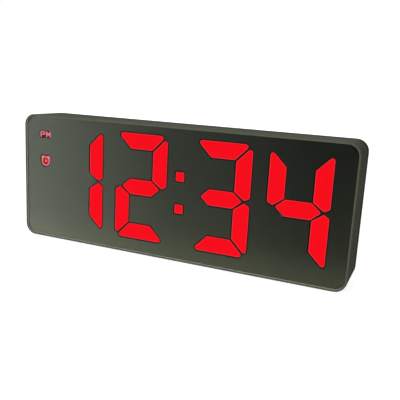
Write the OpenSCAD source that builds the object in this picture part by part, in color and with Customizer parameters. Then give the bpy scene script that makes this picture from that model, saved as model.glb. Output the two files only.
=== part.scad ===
// Table clock: a slim upright case whose mirrored front lets four lit digits shine through.
// The front faces -Y, +X is to the right as seen from the front, and +Z is up.
// The origin lies under the middle of the case, on the surface that the feet stand on.
// Depths are counted from the front plane towards the back, and heights from the middle
// of the case.

/* [Case] */
// Width of the case
body_w = 160; // [158:1:176]
// Height of the case, without the feet
body_h = 60; // [59:0.5:66]
// Depth of the case, from the front plane to the back plane
body_d = 23; // [21.8:0.1:26]
// Radius of the four corners, seen from the front
corner_r = 5.4; // [4.6:0.2:7]
// Bevel along the front edge
front_bevel = 0.45; // [0.3:0.05:0.45]
// Rounding along the back edge
back_round = 0.9; // [0.6:0.1:1.4]
// Depth of the rear cover's rim, seen from the side
rim_d = 6; // [4:0.5:6]
// Thickness of the housing's side walls
wall = 1.8; // [1.6:0.1:2]
// Thickness of the rear cover's plate
plate_t = 1.6; // [1.4:0.1:1.8]
// Distance of the screw posts from the case's outline, both ways
post_inset = 5.3; // [5.1:0.1:5.5]

/* [Front panel] */
// Distance of the panel's pocket from the case's bottom, left and right sides
pocket_inset = 0.8; // [0.6:0.05:1.4]
// Distance of the panel's pocket from the case's top
pocket_top_inset = 0.55; // [0.5:0.05:1.25]
// Gap between the panel and its pocket
panel_gap = 0.12; // [0.05:0.01:0.25]
// How far the panel lies below the front plane
panel_sink = 0.2; // [0.1:0.05:0.4]
// Thickness of the clear panel
lens_t = 0.6; // [0.5:0.1:1.2]
// Thickness of the mirror film behind the panel
film_t = 0.2; // [0.1:0.05:0.3]
// Thickness of the tape that holds the panel
tape_t = 0.15; // [0.1:0.05:0.25]
// Distance of the display opening from the case's outline
opening_inset = 3; // [2.8:0.1:3.1]

/* [Display] */
// Distance of the first digit from the case's left side
display_left = 18.65; // [16:0.05:22]
// Distance of the last digit from the case's right side
display_right = 9.55; // [8.6:0.05:14]
// Distance of the digits from the case's top
display_top = 4.35; // [3.8:0.05:6]
// Distance of the digits from the case's bottom
display_bottom = 6.85; // [4.5:0.05:9]
// Width of a digit's strokes
stroke_w = 7.3; // [6.8:0.1:7.6]
// Gap between neighbouring strokes of a digit
stroke_gap = 0.6; // [0.5:0.05:0.65]
// Gap between two digits
digit_space = 7.1; // [5:0.1:8]
// Extra room for the colon between the middle digits
colon_room = 5.7; // [5.2:0.1:6]
// Side of a colon dot
dot_w = 4.35; // [3.8:0.05:4.8]
// Distance between the two colon dots, middle to middle
dot_pitch = 14.5; // [12:0.1:18]
// Gap between a stroke's tile and the cell that it sits in
groove_w = 0.15; // [0.12:0.01:0.2]
// How far the film's windows reach past the lit strokes
window_w = 0.4; // [0.35:0.05:0.5]
// Air gap between the film and the light box
box_gap = 0.3; // [0.25:0.05:0.4]

/* [Marks] */
// Distance of the marks' column from the case's left side
mark_inset = 11.9; // [11.3:0.1:12.5]
// Distance of the afternoon letters' middle from the case's top
pm_drop = 9.2; // [9.1:0.1:12]
// Distance of the alarm pictogram's middle from the case's top
alarm_drop = 22.2; // [17:0.1:30]
// Height of the letters
letter_h = 2.7; // [2.4:0.1:2.8]
// Width of one letter
letter_w = 2.6; // [2.2:0.1:2.7]
// Width of the alarm pictogram
alarm_w = 5.4; // [4.4:0.1:5.6]

/* [Boards] */
// Thickness of the main board
main_t = 1.2; // [1:0.1:1.4]
// Thickness of the control board
control_t = 1; // [0.8:0.1:1.2]
// Width of the control board
control_w = 62; // [56:0.5:66]
// Height of the control board
control_h = 37; // [36:0.5:39]
// Height of the control board's middle above the case's middle
control_z = 3; // [2.5:0.1:3.4]
// Distance of the control board from the back plane
control_back = 8.4; // [8.2:0.1:8.6]

/* [Battery bay] */
// Diameter of a cell
cell_d = 10.5; // [10:0.1:10.6]
// Length of a cell with its button
cell_l = 44.5; // [43.5:0.1:45.5]
// Gap between the cells
cell_gap = 0.4; // [0.2:0.1:0.8]
// Gap between the bay's floor and the main board
bay_board_gap = 0.45; // [0.2:0.05:0.8]
// Thickness of the battery door
door_t = 1.2; // [1:0.1:1.3]
// Ledge that the battery door closes on
door_ledge = 1.4; // [1.2:0.1:1.8]
// Thickness of the bay's side walls
bay_wall = 1.8; // [1.4:0.1:2]
// Thickness of the bay's floor
bay_floor_t = 0.9; // [0.7:0.1:1]
// Length of a contact spring as fitted
spring_l = 5.2; // [4:0.1:6]

/* [Controls] */
// Diameter of a button
button_d = 7; // [6:0.1:8]
// Distance from one button to the next
button_pitch = 18; // [14:0.5:19]
// Height of the buttons above the control board's middle
button_z = 9; // [8:0.5:10]
// Travel of a button
button_travel = 0.5; // [0.3:0.05:0.6]
// Depth of the recesses that the controls sit in
recess_depth = 1.2; // [1:0.1:1.3]
// Thickness of the floor under the recesses
recess_floor_t = 1.2; // [1:0.1:1.3]
// Width of the slide switch's knob
knob_w = 4; // [3.5:0.1:4.5]
// Travel of the slide switch's knob
knob_travel = 2; // [1.5:0.1:2.4]

/* [Inlet and sound] */
// Width of the power socket's metal shell
socket_w = 7.6; // [7.4:0.1:8]
// Height of the power socket's metal shell
socket_h = 2.9; // [2.8:0.1:3.2]
// Diameter of the sounder
sounder_d = 12; // [11:0.1:12.2]
// Diameter of a sound hole
sound_hole_d = 1.2; // [0.8:0.1:1.5]

/* [Feet] */
// Diameter of a rubber foot
foot_d = 5; // [4:0.1:6.4]
// How far the feet stand out below the case
foot_proud = 0.4; // [0.3:0.05:0.6]
// Distance of the feet from the case's sides
foot_inset = 14; // [10:0.5:30]

/* [Hidden] */
$fn = 48;

// Shared clearances
overrun = 0.5;      // how far a cut runs past the face that it opens
fit_gap = 0.15;     // between parts that are set into each other
move_gap = 0.3;     // round parts that move
solder_gap = 0.05;  // under round parts that lie on a board

// Case details
part_bevel = 0.25;  // small bevel on each side of the line between the shells
ledge_t = 1.2;
lip_t = 1.2;
lip_d = 2;
lip_root = 1.2;
rim_wall = 2.2;
post_d = 6;
boss_d = 4.4;
gusset_reach = 2.4;
lens_polish = 0.15;

// Screws: no thread is drawn, so a shank has the size of its core
screw_core_d = 1.7;
screw_pilot_d = 1.8;
screw_free_d = 2.3;
screw_head_d = 3.8;
screw_head_t = 1.3;
screw_well_d = 4.3;
screw_seat_t = 3.9;   // rear post left under a case screw's head
screw_bite_share = 0.684;  // how much of its boss a case screw fills
cross_l = 2.4;
cross_w = 0.55;
cross_d = 0.7;
short_bite = 4;       // length of the control board's screws in their posts
box_bite_share = 0.8; // how much of the light box's thickness its screws fill

// Strokes of a digit
tip_r = 1.2;                // rounding of the mitred tips
knee_r = 0.8;               // rounding of the other corners
mid_tip_share = 0.335;      // place of an upright's middle tip across the stroke
mid_outer_share = 0.2;      // rise from that tip to the outer side
mid_inner_share = 0.47;     // rise from that tip to the inner side
bar_slope_share = 0.59;     // length of the middle bar's slanted ends
bar_gap_share = 1.5;        // gap beside the middle bar, in stroke gaps
arc_count = 3;
tile_sink = 0.05;
flange_w = 0.1;
flange_sink_share = 0.2;    // place of the tiles' flanges in the light box
flange_share = 0.22;        // thickness of the flanges
dot_r = 0.5;
// Where the strokes lie: to the side, and up
stroke_signs = [[0, 1], [1, 1], [1, -1], [0, -1], [-1, -1], [-1, 1], [0, 0]];
led_l = 1.6;
led_w = 0.8;
led_t = 0.7;
led_step = 4.5;

// Marks, drawn as shares of a letter's or the pictogram's width and height
letter_space = 0.7;
mark_rise = 0.35;
p_shares = [[0, 0], [0.22, 0], [0.22, 0.38], [0.8, 0.38], [1, 0.53], [1, 0.85], [0.8, 1], [0, 1]];
p_hole_shares = [[0.22, 0.55], [0.68, 0.55], [0.78, 0.62], [0.78, 0.77], [0.68, 0.83], [0.22, 0.83]];
m_shares = [
  [0, 0], [0.2, 0], [0.2, 0.62], [0.5, 0.2], [0.8, 0.62], [0.8, 0],
  [1, 0], [1, 1], [0.8, 1], [0.5, 0.52], [0.2, 1], [0, 1]
];
bell_ring_share = 0.44;
bell_line_share = 0.1;
bell_ear_share = 0.15;
bell_ear_place_share = 0.5;
bell_hand_share = 0.2;
bell_ear_turn = 45;   // the ears' angle round the bell
bell_edge = 0.2;      // how far the tile reaches past the pictogram

// Electronic parts
board_gap = 0.6;
chip_l = 18;
chip_w = 7.5;
chip_t = 2.2;
chip_lift = 0.2;
leg_count = 14;
leg_pitch = 1.27;
leg_w = 0.45;
leg_t = 0.3;
leg_reach = 1.2;
chip_right = 44;      // driver chip, from the case's right side
chip_z = 7;
resistor_size = [2, 1.25, 0.5];
resistor_count = 8;
resistor_pitch = 3.4;
resistor_z = -3;
can_d = 4;
can_l = 7;
can_top = 5.4;
can_sleeve = 0.15;
can_groove = 0.9;
crystal_d = 2.1;
crystal_l = 6.2;
crystal_z = -21;
beside_screw = 1.8;   // capacitor and crystal, from the light box's right-hand screws
link_count = 6;
link_pitch = 2.54;
link_w = 2.5;
link_base_t = 2.4;
link_pin_w = 0.64;
link_inset = 5;       // link, from the control board's right edge
board_boss_d = 4.4;
board_boss_inset = 3;
reflector_screw_inset = 2.5;  // from the digits' top and bottom
push_w = 6;
push_t = 3.5;
push_leg_w = 0.8;
push_leg_reach = 0.7;
push_leg_t = 0.3;
plunger_d = 3.4;
plunger_proud = 1;
plunger_gap = 0.1;
plunger_hold = 1.5;

// Controls
button_flange = 1.2;
button_bevel = 0.3;
button_sink = 0.2;
mark_depth = 0.25;
mark_w = 0.6;
button_mark_share = 0.5;
row_h = 12;
recess_r = 1.5;
recess_wall = 1.2;
slide_below = 11;     // slide switch, socket and microphone, below the control board's middle
slide_share = 0.2097; // places along the control board: slide switch,
socket_share = 0.4597;  // socket,
mic_share = 0.655;      // microphone
sounder_share = 0.85;   // and sounder
slide_body = [8.6, 3.6, 3.7];
slide_slot_h = 1.8;
slide_leg_count = 3;
slide_leg_pitch = 2.5;
slide_leg_w = 0.6;
knob_h = 3;
knob_stem_h = 1.4;
knob_stem_w = 1.6;
knob_stem_hold = 2.2;
knob_base_gap = 0.6;
knob_base_t = 1.4;
knob_base_lap = 1;
knob_sink = 0.5;
rib_w = 0.5;
rib_rise = 0.3;
rib_pitch = 1.1;
slide_recess_l = 13;
slide_recess_h = 6.5;
sign_d = 1.4;
sign_w = 0.35;
sign_gap = 1.4;

// Inlet and sound
socket_wall = 0.3;
socket_cut = 0.8;
socket_sink = 1;
socket_gap = 0.4;
socket_base_t = 2;
tongue_w = 4;
tongue_t = 0.7;
tongue_sink = 1.1;
socket_recess_edge = 1.3;
mic_d = 6;
mic_t = 2.7;
mic_hole_d = 1.4;
mic_felt_d = 4;
mic_felt_t = 0.3;
mic_pin_d = 0.5;
mic_pin_space = 2.5;
mic_ring_wall = 0.8;
sounder_below = 8.5;  // sounder, below the control board's middle
sounder_mouth_d = 2.4;
sounder_mouth_t = 1;
sound_ring = 2.6;
sound_hole_count = 6;

// Battery bay
cell_count = 3;
cell_side_gap = 0.35;
cell_door_gap = 0.45;
cell_floor_gap = 0.1;
nub_d = 3.8;
nub_l = 0.9;
cell_bevel = 0.4;
contact_t = 0.4;
contact_w = 9;
contact_nub_d = 5;
contact_nub_t = 0.5;
tab_w = 2;
tab_reach = 1.5;
tab_gap = 0.3;
spring_big_d = 8;
spring_small_d = 5;
spring_wall = 0.8;
lead_d = 1.3;
lead_run = 2;
right_room_share = 0.2234;   // how much of the width that the bay and the control board leave
middle_room_share = 0.3191;  // lies to the right of the board, and between the two
bay_frame_w = 3.2;
bay_frame_t = 1.8;
hook_w = 6;
hook_spread = 15;
hook_reach = 1.5;
hook_t = 0.9;
hook_root = 2;
catch_w = 8;
catch_t = 1.6;
catch_h = 1.2;
slit_w = 0.8;
slit_l = 6;
grip_count = 4;
grip_w = 0.8;
grip_pitch = 1.7;
grip_l = 8;
grip_d = 0.3;
finger_w = 12;
finger_h = 4;
finger_d = 0.8;

// Feet
foot_hold = 0.6;
foot_bevel = 0.2;
foot_gap = 0.1;
foot_front = 2;       // front feet, from the front plane
foot_back = 0.4;      // rear feet, from the line between the shells

// Levels, counted from the front plane
lens_s = panel_sink;
film_s = lens_s + lens_t;
tape_s = film_s + film_t;
ledge_s = tape_s + tape_t;
reflector_s = tape_s + box_gap;
ledge_back_s = ledge_s + ledge_t;
part_s = body_d - rim_d;
plate_s = body_d - plate_t;
recess_s = body_d - recess_depth;
recess_in_s = recess_s - recess_floor_t;
control_back_s = body_d - control_back;
control_s = control_back_s - control_t;
door_in_s = body_d - door_t;
ledge_door_s = door_in_s - fit_gap;
cell_s = door_in_s - cell_door_gap - cell_d / 2;
bay_floor_s = cell_s - cell_d / 2 - cell_floor_gap;
main_back_s = bay_floor_s - bay_floor_t - bay_board_gap;
main_s = main_back_s - main_t;
screw_seat_s = main_back_s + screw_seat_t;
screw_bite = screw_bite_share * (main_s - ledge_back_s);
reflector_t = main_s - reflector_s;
box_bite = box_bite_share * reflector_t;
flange_sink = flange_sink_share * reflector_t;
flange_t = flange_share * reflector_t;

// Places, counted from the middle of the front
mid_z = foot_proud + body_h / 2;
pocket_raise = (pocket_inset - pocket_top_inset) / 2;
panel_w = body_w - 2 * (pocket_inset + panel_gap);
panel_h = body_h - pocket_inset - pocket_top_inset - 2 * panel_gap;
panel_r = corner_r - pocket_inset - panel_gap;
post_x = body_w / 2 - post_inset;
post_z = body_h / 2 - post_inset;
digit_w = (body_w - display_left - display_right - 3 * digit_space - colon_room) / 4;
digit_h = body_h - display_top - display_bottom;
digit_pitch = digit_w + digit_space;
display_x = (display_left - display_right) / 2;
display_z = (display_bottom - display_top) / 2;
digit_xs = [for (i = [-1.5:1.5]) display_x + i * digit_pitch + sign(i) * colon_room / 2];
mark_x = mark_inset - body_w / 2;
pm_z = body_h / 2 - pm_drop;
alarm_z = body_h / 2 - alarm_drop;
pm_w = 2 * letter_w + letter_space;
screw_xs = [digit_xs[0] + digit_pitch / 2, digit_xs[2] + digit_pitch / 2];
screw_reach = digit_h / 2 - reflector_screw_inset;
screw_zs = [display_z - screw_reach, display_z + screw_reach];
can_x = screw_xs[1] - screw_head_d / 2 - beside_screw - can_l;
crystal_x = screw_xs[1] + screw_head_d / 2 + beside_screw;
bay_l = cell_l + 2 * contact_t + contact_nub_t + spring_l;
free_w = body_w - control_w - bay_l;
control_x = body_w / 2 - right_room_share * free_w - control_w / 2;
control_left = control_x - control_w / 2;
control_right = control_x + control_w / 2;
button_xs = [for (i = [-1:1]) control_x + i * button_pitch];
buttons_z = control_z + button_z;
slide_x = control_left + slide_share * control_w;
socket_x = control_left + socket_share * control_w;
slide_z = control_z - slide_below;
slide_leg_xs = [
  for (i = [0:slide_leg_count - 1]) slide_x + (i - (slide_leg_count - 1) / 2) * slide_leg_pitch
];
mic_x = control_left + mic_share * control_w;
sounder_x = control_left + sounder_share * control_w;
sounder_z = control_z - sounder_below;
bay_h = cell_count * cell_d + (cell_count - 1) * cell_gap + 2 * cell_side_gap;
bay_x = control_left - middle_room_share * free_w - bay_l / 2;
bay_left = bay_x - bay_l / 2;
bay_right = bay_x + bay_l / 2;
cell_step = cell_d + cell_gap;
cell_zs = [for (i = [1:-1:-1]) i * cell_step];
door_l = bay_l + 2 * door_ledge - 2 * move_gap;
door_h = bay_h + 2 * door_ledge - 2 * move_gap;
tab_s = cell_s - cell_d / 4;
foot_ss = [foot_front + foot_d / 2, part_s - foot_back - foot_d / 2];
push_top_s = control_back_s + push_t;
plunger_top_s = push_top_s + plunger_proud;
flange_top_s = recess_in_s - move_gap;

// Moves to a depth behind the front plane and to a place seen from the front
module at(x, s, z) translate([x, s - body_d / 2, mid_z + z]) children();

// A flat shape seen from the front, made solid from depth s backwards
module layer(s, t) at(0, s + t, 0) rotate([90, 0, 0]) linear_extrude(t) children();

// A round bar that runs backwards from depth s
module peg(x, s, z, d, l) at(x, s, z) rotate([-90, 0, 0]) cylinder(d = d, h = l);

// A round bar that runs to the right
module rod(x, s, z, d, l) at(x, s, z) rotate([0, 90, 0]) cylinder(d = d, h = l);

// A block from depth s backwards, centred on its place as seen from the front
module block(x, s, z, w, t, h) at(x - w / 2, s, z - h / 2) cube([w, t, h]);

// What is taken off a square corner to round it
module bite(r) difference() {
  square(r + overrun);
  circle(r);
}

module round_rect(w, h, r) difference() {
  square([w, h], center = true);
  for (i = [0, 1], k = [0, 1]) mirror([i, 0]) mirror([0, k])
    translate([w / 2 - r, h / 2 - r]) bite(r);
}

// The case's outline, drawn in by an inset
module case_outline(inset) {
  round_rect(body_w - 2 * inset, body_h - 2 * inset, corner_r - inset);
}

// The panel's outline, grown by d
module panel_outline(d) translate([0, pocket_raise])
  round_rect(panel_w + 2 * d, panel_h + 2 * d, panel_r + d);

// Half of a plate's edge, for its corners: a bevel in front and a rounding behind
module edge_half(reach, t, bevel, r) difference() {
  polygon([[0, 0], [reach - bevel, 0], [reach, bevel], [reach, t], [0, t]]);
  translate([reach - r, t - r]) bite(r);
}

// The whole section of a plate with the same edges on both sides
module edge_band(reach, t, bevel, r) difference() {
  polygon([[0, reach - bevel], [bevel, reach], [t, reach], [t, -reach], [bevel, -reach], [0, bevel - reach]]);
  for (k = [0, 1]) mirror([0, k]) translate([t - r, reach - r]) bite(r);
}

// A plate of size w by h with corner radius c, a bevelled front edge and a rounded back edge
module edged_plate(s, t, w, h, c, bevel, r) {
  for (i = [-1, 1], k = [-1, 1]) at(i * (w / 2 - c), s, k * (h / 2 - c))
    rotate([-90, 0, 0]) rotate_extrude() edge_half(c, t, bevel, r);
  at(c - w / 2, s, 0) rotate([90, 0, 90]) linear_extrude(w - 2 * c) edge_band(h / 2, t, bevel, r);
  at(0, s, c - h / 2) rotate([0, 0, 90]) linear_extrude(h - 2 * c) edge_band(w / 2, t, bevel, r);
}

module at_posts() for (i = [-1, 1], k = [-1, 1]) translate([i * post_x, k * post_z]) children();

// The opening behind the panel, with its corners kept for the screw bosses
module opening(gap) difference() {
  square([body_w - 2 * (opening_inset + gap), body_h - 2 * (opening_inset + gap)], center = true);
  for (i = [0, 1], k = [0, 1]) mirror([i, 0]) mirror([0, k])
    translate([post_x - gusset_reach - gap, post_z - gusset_reach - gap]) square(post_inset + gusset_reach);
}

// A cross-shaped recess in a screw's head; the head faces the way it is turned to
module cross_recess() for (a = [0, 90]) rotate([0, 0, a])
  translate([-cross_l / 2, -cross_w / 2, -overrun]) cube([cross_l, cross_w, cross_d + overrun]);

// A pan-head screw with its head's top at depth s, running to the front or, turned, to the back
module screw(x, s, z, l, to_back) at(x, s, z) rotate([to_back ? -90 : 90, 0, 0]) difference() {
  rotate_extrude() polygon([
    [0, 0], [screw_head_d / 2 - cross_w, 0], [screw_head_d / 2, cross_w], [screw_head_d / 2, screw_head_t],
    [screw_core_d / 2, screw_head_t], [screw_core_d / 2, screw_head_t + l], [0, screw_head_t + l]
  ]);
  cross_recess();
}

// Outlines: each runs anticlockwise and holds [x, z, corner radius]
function flat(p) = [p.x, p.y];
function unit(v) = v / norm(v);
function way(p, i) = unit(flat(p[(i + 1) % len(p)]) - flat(p[i % len(p)]));
function outer(v) = [v.y, -v.x];

// An outline moved outwards by d
function grown(p, d) = [
  for (i = [0:len(p) - 1])
    let (a = outer(way(p, i + len(p) - 1)), b = outer(way(p, i)))
      concat(flat(p[i]) + d * (a + b) / (1 + a * b), [p[i].z + d])
];

// An outline with its corners rounded
function rounded(p) = [
  for (i = [0:len(p) - 1])
    let (
      a = way(p, i + len(p) - 1),
      b = way(p, i),
      turn = acos(a * b),
      r = p[i].z,
      start = atan2(-a.x, a.y),
      mid = flat(p[i]) + unit(b - a) * r / cos(turn / 2)
    )
      for (k = [0:arc_count]) mid + r * [cos(start + k * turn / arc_count), sin(start + k * turn / arc_count)]
];

mitre = stroke_gap * sqrt(0.5);
bar_tip = digit_w / 2 - (mid_tip_share * stroke_w + bar_gap_share * stroke_gap);

top_stroke = [
  [-(digit_w / 2 - stroke_w - mitre), digit_h / 2 - stroke_w, knee_r],
  [digit_w / 2 - stroke_w - mitre, digit_h / 2 - stroke_w, knee_r],
  [digit_w / 2 - mitre, digit_h / 2, tip_r],
  [-(digit_w / 2 - mitre), digit_h / 2, tip_r]
];

side_stroke = [
  [digit_w / 2 - stroke_w, stroke_gap / 2 + mid_inner_share * stroke_w, knee_r],
  [digit_w / 2 - mid_tip_share * stroke_w, stroke_gap / 2, knee_r],
  [digit_w / 2, stroke_gap / 2 + mid_outer_share * stroke_w, knee_r],
  [digit_w / 2, digit_h / 2 - mitre, tip_r],
  [digit_w / 2 - stroke_w, digit_h / 2 - stroke_w - mitre, knee_r]
];

middle_stroke = [
  [-bar_tip, 0, knee_r],
  [-(bar_tip - bar_slope_share * stroke_w), -stroke_w / 2, knee_r],
  [bar_tip - bar_slope_share * stroke_w, -stroke_w / 2, knee_r],
  [bar_tip, 0, knee_r],
  [bar_tip - bar_slope_share * stroke_w, stroke_w / 2, knee_r],
  [-(bar_tip - bar_slope_share * stroke_w), stroke_w / 2, knee_r]
];

dot = [
  [-dot_w / 2, -dot_w / 2, dot_r], [dot_w / 2, -dot_w / 2, dot_r],
  [dot_w / 2, dot_w / 2, dot_r], [-dot_w / 2, dot_w / 2, dot_r]
];

// The lit strokes of 1, 2, 3 and 4
function lit_strokes(n) = [[1, 2], [0, 1, 6, 4, 3], [0, 1, 6, 2, 3], [5, 6, 1, 2]][n];

// One stroke of the digit at place n, moved outwards by d
module stroke(n, k, d) {
  side = stroke_signs[k].x;
  up = stroke_signs[k].y;
  shape = side != 0 ? side_stroke : up != 0 ? top_stroke : middle_stroke;
  translate([digit_xs[n], display_z]) mirror([side < 0 ? 1 : 0, 0]) mirror([0, up < 0 ? 1 : 0])
    polygon(rounded(grown(shape, d)));
}

module dots(d) for (k = [-1, 1]) translate([display_x, display_z + k * dot_pitch / 2])
  polygon(rounded(grown(dot, d)));

// The cells of the two marks
module pm_cell(d) translate([mark_x, pm_z]) square([pm_w + 2 * d, letter_h + 2 * d], center = true);
module alarm_cell(d) translate([mark_x, alarm_z]) bell_shape(bell_edge + d);

// The outline of a bell clock with two ears, grown by d
module bell_shape(d) {
  ear = bell_ear_share * alarm_w;
  circle(bell_ring_share * alarm_w + d);
  for (k = [0, 1]) mirror([k, 0]) rotate(bell_ear_turn) translate([bell_ear_place_share * alarm_w, 0])
    square([ear + 2 * d, 2 * ear + 2 * d], center = true);
}

module all_cells(d) {
  for (n = [0:3], k = [0:6]) stroke(n, k, d);
  dots(d);
  pm_cell(d);
  alarm_cell(d);
}

module lit_cells(d) {
  for (n = [0:3], k = lit_strokes(n)) stroke(n, k, d);
  dots(d);
  pm_cell(d);
  alarm_cell(d);
}

// Front shell: side walls, the pocket of the panel and the ledge that carries it
module front_housing() color("#45493c") {
  difference() {
    edged_plate(0, part_s, body_w, body_h, corner_r, front_bevel, part_bevel);
    layer(-overrun, ledge_s + overrun) panel_outline(panel_gap);
    layer(0, ledge_back_s + overrun) opening(0);
    layer(ledge_back_s, body_d) case_outline(wall);
    for (x = [-1, 1], s = foot_ss)
      at(x * (body_w / 2 - foot_inset), s, -body_h / 2 - overrun)
        cylinder(d = foot_d + 2 * foot_gap, h = foot_hold + overrun);
  }
  difference() {
    layer(ledge_s, main_s - ledge_s) at_posts() circle(d = boss_d);
    layer(ledge_back_s, body_d) at_posts() circle(d = screw_pilot_d);
  }
}

// A recess in the rear cover, as the block behind it and as the cut
module recess_pads() {
  layer(recess_in_s, body_d - back_round - recess_in_s) {
    translate([control_x, buttons_z])
      square([2 * (button_pitch + button_d + recess_wall), row_h + 2 * recess_wall], center = true);
    translate([slide_x, slide_z])
      square([slide_recess_l + 2 * recess_wall, slide_recess_h + 2 * recess_wall], center = true);
    translate([socket_x, slide_z])
      square([socket_w + 2 * (socket_recess_edge + recess_wall),
              socket_h + 2 * (socket_recess_edge + recess_wall)], center = true);
  }
}

module recess_cuts() {
  layer(recess_s, body_d) {
    translate([control_x, buttons_z])
      round_rect(2 * (button_pitch + button_d), row_h, recess_r);
    translate([slide_x, slide_z]) round_rect(slide_recess_l, slide_recess_h, recess_r);
    translate([socket_x, slide_z])
      round_rect(socket_w + 2 * socket_recess_edge, socket_h + 2 * socket_recess_edge, recess_r);
  }
  layer(recess_in_s - overrun, body_d) {
    for (x = button_xs) translate([x, buttons_z]) circle(d = button_d + 2 * move_gap);
    translate([slide_x, slide_z])
      square([knob_w + knob_travel + 2 * move_gap, knob_h + 2 * move_gap], center = true);
    translate([socket_x, slide_z])
      square([socket_w + 2 * socket_gap, socket_h + 2 * socket_gap], center = true);
  }
  layer(plate_s - overrun, body_d) {
    translate([mic_x, slide_z]) circle(d = mic_hole_d);
    translate([sounder_x, sounder_z]) {
      circle(d = sound_hole_d);
      for (k = [1:sound_hole_count]) rotate(k * 360 / sound_hole_count)
        translate([sound_ring, 0]) circle(d = sound_hole_d);
    }
  }
  // the on and off signs beside the slide switch
  layer(recess_s - mark_depth, body_d) translate([slide_x, slide_z]) {
    translate([-(knob_w + knob_travel) / 2 - sign_gap, 0])
      square([sign_w, sign_d], center = true);
    translate([(knob_w + knob_travel) / 2 + sign_gap, 0]) difference() {
      circle(d = sign_d);
      circle(d = sign_d - 2 * sign_w);
    }
  }
}

// The battery bay's walls and floor, which are moulded on the rear cover
module bay_solid() {
  layer(bay_floor_s - bay_floor_t, plate_s + plate_t / 2 - bay_floor_s + bay_floor_t)
    translate([bay_x, 0]) square([bay_l + 2 * bay_wall, bay_h + 2 * bay_wall], center = true);
  layer(ledge_door_s - bay_frame_t, plate_s + plate_t / 2 - ledge_door_s + bay_frame_t)
    translate([bay_x, 0]) square([bay_l + 2 * bay_frame_w, bay_h + 2 * bay_frame_w], center = true);
}

module bay_cuts() {
  layer(bay_floor_s, body_d) translate([bay_x, 0]) square([bay_l, bay_h], center = true);
  layer(ledge_door_s, body_d) translate([bay_x, 0])
    square([door_l + 2 * move_gap, door_h + 2 * move_gap], center = true);
  // room for the door's hooks: through the ledge, and under the lip above the door
  hook_sweep = norm([plate_t + move_gap + hook_t, hook_reach]) + move_gap;
  notch_h = door_h / 2 + move_gap - bay_h / 2 + overrun;
  for (k = [-1, 1])
    at(bay_x + k * hook_spread - hook_w / 2 - move_gap, body_d - hook_sweep, bay_h / 2 - overrun) {
      cube([hook_w + 2 * move_gap, hook_sweep, notch_h]);
      cube([hook_w + 2 * move_gap, hook_sweep - plate_t, notch_h + hook_reach]);
    }
  // slots for the solder tabs of the two end contacts
  at(bay_left - bay_wall - overrun, tab_s - tab_gap, cell_zs[0] - tab_w / 2 - tab_gap)
    cube([bay_wall + 2 * overrun, contact_t + 2 * tab_gap, tab_w + 2 * tab_gap]);
  at(bay_right - overrun, tab_s - tab_gap, cell_zs[2] - tab_w / 2 - tab_gap)
    cube([bay_wall + 2 * overrun, contact_t + 2 * tab_gap, tab_w + 2 * tab_gap]);
  // the hollow for a finger below the door
  layer(body_d - finger_d, body_d) translate([bay_x, -door_h / 2 - move_gap - finger_h / 2 + recess_r])
    round_rect(finger_w, finger_h + 2 * recess_r, recess_r);
}

module at_board_bosses() for (i = [-1, 1], k = [-1, 1])
  translate([
    control_x + i * (control_w / 2 - board_boss_inset),
    control_z + k * (control_h / 2 - board_boss_inset)
  ]) children();

// Back shell: plate and rim, battery bay, posts and the seats of the controls
module rear_cover() color("#3b3e33") difference() {
  union() {
    difference() {
      edged_plate(part_s, rim_d, body_w, body_h, corner_r, part_bevel, back_round);
      layer(part_s - overrun, plate_s - part_s + overrun) case_outline(rim_wall);
    }
    difference() {
      layer(part_s - lip_d, lip_d + lip_root) case_outline(wall + fit_gap);
      layer(0, body_d) case_outline(wall + fit_gap + lip_t);
    }
    layer(main_back_s, plate_s + plate_t / 2 - main_back_s) at_posts() circle(d = post_d);
    layer(control_back_s, plate_s + plate_t / 2 - control_back_s) at_board_bosses() circle(d = board_boss_d);
    layer(plate_s - mic_t - fit_gap, mic_t + fit_gap + plate_t / 2)
      translate([mic_x, slide_z]) circle(d = mic_d + 2 * (fit_gap + mic_ring_wall));
    recess_pads();
    bay_solid();
  }
  layer(0, body_d + overrun) at_posts() circle(d = screw_free_d);
  layer(screw_seat_s, body_d) at_posts() circle(d = screw_well_d);
  layer(control_back_s - overrun, short_bite + 2 * overrun) at_board_bosses() circle(d = screw_pilot_d);
  layer(part_s - lip_d, plate_s - part_s + lip_d) translate([mic_x, slide_z]) circle(d = mic_d + 2 * fit_gap);
  recess_cuts();
  bay_cuts();
}

// Clear front panel
module front_lens() color("#20241d", 0.5) translate([0, 0, pocket_raise])
  edged_plate(lens_s, lens_t, panel_w, panel_h, panel_r, lens_polish, 0);

// Dark half mirror on the panel's back, open where the display is lit
module mirror_film() color("#2c3029") layer(film_s, film_t) difference() {
  panel_outline(0);
  lit_cells(window_w);
}

module panel_tape() color("#151515") layer(tape_s, tape_t) difference() {
  panel_outline(0);
  opening(0);
}

// Light box: one cell for each stroke and mark, open at the back to its light
module reflector() color("#1a1a1a") difference() {
  layer(reflector_s, reflector_t) difference() {
    opening(fit_gap);
    all_cells(groove_w);
  }
  layer(main_s - box_bite, box_bite + overrun)
    for (x = screw_xs, z = screw_zs) translate([x, z]) circle(d = screw_pilot_d);
}

// A tile of frosted plastic: its face fills a window, and its flange sits in the cell
module tile_face(front_s) layer(front_s, reflector_s + flange_sink + flange_t - front_s) children();
module tile_flange() layer(reflector_s + flange_sink, flange_t) children();

module lit_digit(n) color("#fa0d1c") {
  tile_face(film_s + tile_sink) for (k = lit_strokes(n)) stroke(n, k, 0);
  tile_flange() for (k = lit_strokes(n)) stroke(n, k, flange_w);
}

module digit_1() lit_digit(0);
module digit_2() lit_digit(1);
module digit_3() lit_digit(2);
module digit_4() lit_digit(3);

module colon_dots() color("#fa0d1c") {
  tile_face(film_s + tile_sink) dots(0);
  tile_flange() dots(flange_w);
}

module letter(points) polygon([for (q = points) [q.x * letter_w, q.y * letter_h]]);

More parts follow.
